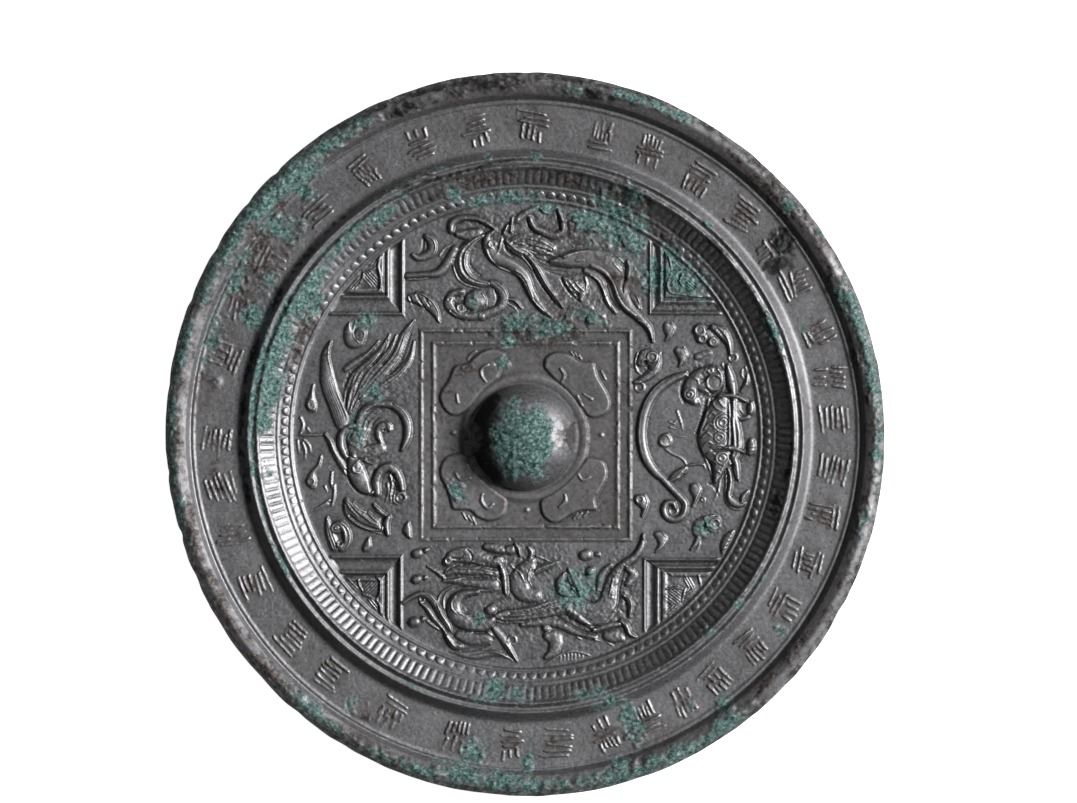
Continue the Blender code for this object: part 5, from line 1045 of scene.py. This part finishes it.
# Places where the cast skin is rough and pitted: x, y, half width, half height, roughness.
ROUGH_PLACES = (
    (4, 52, 24, 6, .9), (-14, 33, 9, 6, .7), (13, 34, 12, 5, .8), (-15, 45, 6, 8, .5), (-26, 33, 6, 4, .6),
    (-41, -4, 7, 10, .8), (-36, 12, 9, 9, .6), (-33, -13, 5, 6, .8), (-6, -33, 18, 7, .8), (8, -44, 22, 10, .7),
    (-14, -47, 10, 8, .6), (24, -42, 5, 12, .9), (44, 16, 6, 6, .7), (31, 18, 4, 5, .7), (45, -22, 5, 4, .8),
    (50, -5, 7, 14, .3), (39, 39, 8, 9, .8), (-38, 40, 8, 7, .4), (38, -41, 8, 7, .6), (-39, -39, 7, 6, .3),
)
ROUGH_ELSEWHERE, ROUGH_RISE = 0.03, 0.1


def roughness(x, y):
    """Small lumps and pits in mm, where the cast skin is rough."""
    share = np.full_like(x, ROUGH_ELSEWHERE)
    for at_x, at_y, half_x, half_y, strength in ROUGH_PLACES:
        share = np.maximum(share, strength * np.exp(-(((x - at_x) / half_x) ** 2) - ((y - at_y) / half_y) ** 2))
    slanted = mottle(0.8 * x + 0.6 * y, 0.8 * y - 0.6 * x, 0.55, 87)
    return share * (ROUGH_RISE * mottle(x, y, 0.9, 83) + ROUGH_RISE * slanted)


FIGURES_END = 58.0
FIELD_BRONZE = bronze("field_bronze", 0.48, 0.42)
for quarter, name in enumerate(("tortoise_field", "beast_field", "bird_field", "dragon_field")):
    across = (np.arange(-1, FIELD_COLUMNS + 2) / FIELD_COLUMNS - 0.5) * 2
    out = np.arange(-1, FIELD_ROWS + 2) / FIELD_ROWS
    out, across = np.meshgrid(out, across, indexing="ij")
    bend = across * math.pi / 4
    x = SQUARE_EDGE * (1 - out) + FIELD_EDGE * np.cos(bend) * out
    y = SQUARE_EDGE * across * (1 - out) + FIELD_EDGE * np.sin(bend) * out
    for _ in range(quarter):
        x, y = -y, x
    radius = np.hypot(x, y)
    floor_height = turned_height(radius)
    inland = fade_in(FIGURES_END - radius, 0.6)
    z = floor_height + inland * (brackets(x, y) + figures(x, y)) + roughness(x, y)
    shades = corroded(x, y)
    shades["shade_and_wear"] = standing_out(z - floor_height, False)
    z = z + skin(x, y, crusts(shades))
    dress(lay(x, y, z, name, False, shades), FIELD_BRONZE)

# The square. Two thin raised lines frame the floor round the boss, and four scalloped
# cloud lobes stand in its corners, with the low ring that the boss rises from. All of it
# is cast with the disc, and brown soil lies over it.
SQUARE_CELLS = 240
FRAME_LINES, FRAME_HALVES, FRAME_RISE = (23.15, 26.1), (0.6, 0.55), 0.36
FRAME_HOLLOW = 0.25
PIT_DEPTH, PITS_START = 0.2, 21.3
LOBE_RISE, LOBE_EDGE = 0.6, 0.75
# The lobes' outlines as x and y, then strokes on and beside them as x, y, half width.
LOBES = (
    ((-5, 19.5), (-5.3, 20.4), (-7.5, 21.4), (-10, 21.2), (-12.5, 19.7), (-14.5, 17.8), (-17.5, 17.2), (-18.3, 16),
     (-19.3, 13.5), (-21, 11), (-21.3, 8.8), (-20, 6.2), (-17.5, 5), (-14.2, 7), (-11, 11), (-7, 14.4)),
    ((4.8, 17), (5, 19), (6.5, 20.3), (8.5, 20.6), (10.5, 20.2), (12.5, 19), (14, 18.2), (16.8, 18.1), (17.3, 17),
     (18, 14.5), (19.5, 12), (20.8, 9.5), (21, 7.5), (20.3, 5.8), (18, 4.7), (15.8, 4.9), (14.2, 7), (11, 11),
     (7, 14.4)),
    ((-14, -5.3), (-17, -4.8), (-20, -5.8), (-21.3, -8.5), (-21, -11), (-19.8, -13.2), (-18.5, -17.5), (-18, -18.5),
     (-14, -18.8), (-12, -20.5), (-9, -21.4), (-6, -20.2), (-4.9, -18), (-5.2, -16), (-7, -14.6), (-11, -11.4),
     (-14.2, -7.6)),
    ((15.5, -5.8), (19, -6.5), (20.2, -8.5), (20, -11), (18.5, -14), (17.3, -16.5), (17.5, -18.5), (14, -18.8),
     (11, -20), (9, -21.3), (7, -21.9), (4.8, -20.5), (3.9, -18.2), (4.2, -16.2), (7, -14.6), (11, -11.4),
     (14.2, -7.6)),
)
LOBE_STROKES = (
    ((-9.5, 17.6, .4), (-11, 16.6, .55), (-11.1, 15, .5), (-10, 13.4, .3)), ((-17.3, 10.2, .3), (-17, 8.2, .5)),
    ((8.8, 16.6, .4), (9.7, 15, .55), (9, 13.2, .3)), ((13, 9.9, .3), (14, 7.4, .5)),
    ((14.5, 10.3, .3), (16.5, 9, .5)),
    ((-10.8, -14.8, .3), (-11.1, -16.5, .5), (-9.6, -18.4, .5), (-8.2, -17.3, .3)),
    ((-17.6, -9.4, .3), (-16.5, -11.1, .5), (-14, -10.8, .3)),
    ((9.8, -14.9, .3), (10, -16.5, .55), (8.4, -18.1, .3)),
    ((13.2, -9.9, .3), (14.3, -11.3, .5), (16.1, -10.5, .3)),
)
RAYS = (
    ((-12.5, 21, .3), (-13.7, 20.2, .35), (-14.5, 19, .3)), ((11.3, 20.9, .3), (12, 20, .3)),
    ((12.3, 20.6, .3), (13, 19.6, .3)), ((13.3, 20.1, .3), (13.9, 19.1, .3)),
    ((19, 16, .3), (19.5, 15, .35), (20, 14, .3)), ((12, -21, .3), (13, -19.8, .3)),
    ((13, -20.8, .3), (14, -19.6, .3)), ((14.6, -20.5, .3), (15.5, -19.3, .3)),
    ((-15.8, -19.5, .3), (-15, -21, .3)), ((-14.5, -20.3, .3), (-13.5, -21.6, .3)),
    ((-13.4, -20.6, .3), (-12.6, -22.3, .3)),
)
STROKE_ON_LOBE_RISE = 0.3
SQUARE_BEADS, BEAD_RISE = ((-18.2, 0.5), (19, 0), (0.3, -18.8)), 0.4
# The boss's middle, and the low ring round it as radius and rise, with a groove in it.
BOSS_PLACE = (-0.2, -0.6)
FOOT_EDGE, FOOT_RISE = 16.5, 0.32
FOOT_GROOVE, FOOT_GROOVE_DEPTH = 13.7, 0.18
SQUARE_BRIGHT_SIDE = 3.75


def inside_by(outline, x, y):
    """How far inside a closed outline each place lies in mm, and less than nought outside."""
    gap, within = np.full_like(x, 1e9), np.zeros(x.shape, bool)
    for (x0, y0), (x1, y1) in zip(outline, outline[1:] + outline[:1]):
        dx, dy = x1 - x0, y1 - y0
        t = np.clip(((x - x0) * dx + (y - y0) * dy) / (dx * dx + dy * dy), 0.0, 1.0)
        gap = np.minimum(gap, np.hypot(x - x0 - t * dx, y - y0 - t * dy))
        crosses = (y0 > y) != (y1 > y)
        within ^= crosses & (x < x0 + (y - y0) * dx / (dy if dy else 1e-9))
    return np.where(within, gap, -gap)


def square_relief(x, y):
    """The frame lines, lobes and boss ring in mm above the floor of the square."""
    inside = np.maximum(np.abs(x), np.abs(y))
    height = np.zeros_like(x)
    worn = np.clip(0.85 + 0.35 * mottle(x, y, 2.2, 93), 0.4, 1.1)
    for line, half in zip(FRAME_LINES, FRAME_HALVES):
        height = np.maximum(height, FRAME_RISE * worn * np.exp(-(((inside - line) / half) ** 2)))
    span = fade_in(inside - FRAME_LINES[0], FRAME_LINES[1] - FRAME_LINES[0])
    height -= FRAME_HOLLOW * np.sin(math.pi * span)
    for outline in LOBES:
        smooth = [tuple(mark[:2]) for mark in smooth_path([(*place, 1.0) for place in outline])]
        edge = np.clip(inside_by(smooth, x, y) / LOBE_EDGE + 0.35, 0.0, 1.0)
        height = np.maximum(height, LOBE_RISE * edge * (2 - edge) * (1 - 0.12 * edge))
    pits = np.clip(mottle(x, y, 1.2, 101) - 0.5, 0.0, 0.3) / 0.3
    height -= PIT_DEPTH * pits * fade_in(inside - PITS_START, 1.0)
    marks = np.zeros_like(x)
    for stroke in LOBE_STROKES + RAYS:
        raise_body(marks, x, y, (STROKE_ON_LOBE_RISE, 0, *stroke))
    for at_x, at_y in SQUARE_BEADS:
        marks += BEAD_RISE * np.exp(-(((x - at_x) ** 2 + (y - at_y) ** 2) / 0.25))
    out = np.hypot(x - BOSS_PLACE[0], y - BOSS_PLACE[1])
    foot = FOOT_RISE * fade_in(FOOT_EDGE - out, 1.1)
    foot -= FOOT_GROOVE_DEPTH * np.exp(-(((out - FOOT_GROOVE) / 0.6) ** 2))
    return np.maximum(height + marks, foot)


line = (np.arange(-1, SQUARE_CELLS + 2) / SQUARE_CELLS - 0.5) * 2 * SQUARE_EDGE
y, x = np.meshgrid(line, line, indexing="ij")
shades = corroded(x, y)
shades["brown"] = np.maximum(shades["brown"], lumps(x, y, ((5.0, 0.16, 99),), 0.32))
raised = square_relief(x, y)
brighter = np.maximum(np.cos(np.arctan2(y, x) - SQUARE_BRIGHT_SIDE), 0.0) ** 3
shades["shade_and_wear"] = standing_out(raised, False) - 0.13 + 0.36 * brighter
z = FLOOR_HEIGHT + raised + skin(x, y, crusts(shades))
dress(lay(x, y, z, "square_field", False, shades), bronze("square_bronze", 0.52, 0.4))

# The boss. It is the domed knob in the middle, cast with the disc and pierced by an arched
# hole for a cord. Its crown carries a thick green crust.
BOSS_RADIUS, BOSS_HEIGHT = 13.4, 10.2
BOSS_ROWS, BOSS_COLUMNS = 60, 220
BOSS_SKIRT = 1.12
HOLE_WIDTH, HOLE_HEIGHT, HOLE_REACH = 7.6, 6.4, 19.0
ARCH_STEPS = 16
# The crown's crust, the crust round the hole's right mouth, and black painted shade in the left hollow, away from
# the key lamp.
CROWN_WAVES, BOSS_WAVES = ((2.6, 0.22, 71), (1.0, 0.16, 73)), ((1.4, 0.24, 75), (0.75, 0.2, 77))
MOUTH_OUT, MOUTH_HALF_X, MOUTH_HALF_Y = 10.4, 2.4, 3.8
BOSS_SHADE = ((180, 11.5, 11, 3.6, 1.3), (150, 12, 7, 2.6, 1.0), (215, 12, 6, 2.2, 1.0))

fall = np.linspace(0.001, BOSS_SKIRT, BOSS_ROWS) * math.pi / 2
fall, turn = np.meshgrid(fall, full_turn(BOSS_COLUMNS), indexing="ij")
flat = BOSS_RADIUS * np.sin(np.minimum(fall, math.pi / 2))
x, y = BOSS_PLACE[0] + flat * np.cos(turn), BOSS_PLACE[1] + flat * np.sin(turn)
crown = lumps(x, y, CROWN_WAVES, 1.25 - np.hypot((x + 1.0) / 7.6, (y + 1.4) / 9.2))
crown = np.clip(crown, 0.0, 0.5) * 2
mouth = np.exp(-(((x - MOUTH_OUT) / MOUTH_HALF_X) ** 2) - (y / MOUTH_HALF_Y) ** 2)
lump = (crown + 1.3 * mouth) * lumps(x, y, BOSS_WAVES, 0.08) + 0.06 * mottle(x, y, 4.0, 79)
swell = 1 + lump / BOSS_RADIUS
x, y = BOSS_PLACE[0] + flat * swell * np.cos(turn), BOSS_PLACE[1] + flat * swell * np.sin(turn)
z = FLOOR_HEIGHT + BOSS_HEIGHT * np.cos(fall) * swell
z = np.where(fall > math.pi / 2, FLOOR_HEIGHT - (fall - math.pi / 2) * 6.0, z)
# The black on the boss is painted shade on its left side, away from the key lamp.
shades = {
    "green": crown, "brown": 0.62 * mouth, "black": growth(x, y, BOSS_SHADE, BLACK_SHIFT),
    "shade_and_wear": np.full_like(x, LEVEL),
}
dome = lay(x, y, z, "boss", True, shades, trim=False)

form = bmesh.new()
form.from_mesh(dome.data)
bmesh.ops.holes_fill(form, edges=[e for e in form.edges if e.is_boundary], sides=0)
form.to_mesh(dome.data)
form.free()
arch = [(-HOLE_WIDTH / 2, 0.1), (HOLE_WIDTH / 2, 0.1)]
for step in range(ARCH_STEPS + 1):
    bend = math.pi * step / ARCH_STEPS
    arch.append((HOLE_WIDTH / 2 * math.cos(bend), HOLE_HEIGHT - HOLE_WIDTH / 2 * (1 - math.sin(bend))))
form = bmesh.new()
ends = []
for side in (-HOLE_REACH, HOLE_REACH):
    places = [(BOSS_PLACE[0] + side, BOSS_PLACE[1] + a, FLOOR_HEIGHT + b) for a, b in arch]
    ends.append([form.verts.new([value * MM for value in place]) for place in places])
form.faces.new(ends[0])
form.faces.new(ends[1][::-1])
for k in range(len(arch)):
    after = (k + 1) % len(arch)
    form.faces.new((ends[0][k], ends[1][k], ends[1][after], ends[0][after])[::-1])
bmesh.ops.recalc_face_normals(form, faces=form.faces)
cutter_mesh = bpy.data.meshes.new("cord_hole")
form.to_mesh(cutter_mesh)
form.free()
cutter = add("cord_hole", cutter_mesh)
cut = dome.modifiers.new("cord_hole", "BOOLEAN")
cut.operation, cut.object, cut.solver = "DIFFERENCE", cutter, "EXACT"
bpy.context.view_layer.update()
pierced = bpy.data.meshes.new_from_object(dome.evaluated_get(bpy.context.evaluated_depsgraph_get()))
dome.modifiers.clear()
dome.data = pierced
bpy.data.objects.remove(cutter, do_unlink=True)
dress(dome, bronze("boss_bronze", 0.54, 0.5))

# The floor. A sheet of white paper lies under the mirror. It glows, so that it stays white
# without a shadow, and its glow isn't let onto the relief from below.
PAPER_CORNERS = ((-2, -2, -0.0001), (2, -2, -0.0001), (2, 2, -0.0001), (-2, 2, -0.0001))
floor_mesh = bpy.data.meshes.new("floor")
floor_mesh.from_pydata(PAPER_CORNERS, [], [(0, 1, 2, 3)])
floor = add("floor", floor_mesh)
paper = bpy.data.materials.new("pale_paper")
paper.use_nodes = True
paper_shader = paper.node_tree.nodes["Principled BSDF"]
paper_shader.inputs["Base Color"].default_value = (0.92, 0.92, 0.92, 1.0)
paper_shader.inputs["Roughness"].default_value = 0.95
paper_shader.inputs["Emission Color"].default_value = (1.0, 1.0, 1.0, 1.0)
paper_shader.inputs["Emission Strength"].default_value = 1.0
floor.data.materials.append(paper)
floor.visible_diffuse = False

# The light. A broad soft key from the right, low enough to show the relief, a weak lamp
# above, and a faint white room all round.
ROOM_STRENGTH = 0.009


def lamp(name, azimuth, elevation, distance, size, power):
    """An area lamp aimed at the mirror: azimuth anticlockwise from +X, both in degrees."""
    light = bpy.data.lights.new(name, "AREA")
    light.shape, light.size, light.energy = "DISK", size, power
    lit = add(name, light)
    a, e = math.radians(azimuth), math.radians(elevation)
    direction = Vector((math.cos(a) * math.cos(e), math.sin(a) * math.cos(e), math.sin(e)))
    lit.location = direction * distance
    lit.rotation_mode = "QUATERNION"
    lit.rotation_quaternion = direction.to_track_quat("Z", "Y")


lamp("key", 13, 37, 3.0, 1.4, 131.0)
lamp("top", 60, 84, 1.2, 1.0, 0.6)
world = bpy.data.worlds.new("room")
world.use_nodes = True
background = world.node_tree.nodes["Background"]
background.inputs["Color"].default_value = (1.0, 1.0, 1.0, 1.0)
background.inputs["Strength"].default_value = ROOM_STRENGTH
bpy.context.scene.world = world
bpy.context.scene.view_settings.view_transform = "Standard"

# The camera looks straight down, as the photograph does, from far enough to be flat. The
# view is this wide, in metres, at the rim's top, and its middle is given in mm.
VIEW_WIDTH, VIEW_MIDDLE, VIEW_LEVEL = 0.26925, (3.25, 8.4), 7.0
SENSOR_WIDTH, LENS = 36.0, 180.0
camera_data = bpy.data.cameras.new("camera")
camera_data.sensor_width, camera_data.lens = SENSOR_WIDTH, LENS
camera = add("camera", camera_data)
camera.location = (VIEW_MIDDLE[0] * MM, VIEW_MIDDLE[1] * MM, VIEW_LEVEL * MM + VIEW_WIDTH * LENS / SENSOR_WIDTH)
bpy.context.scene.camera = camera
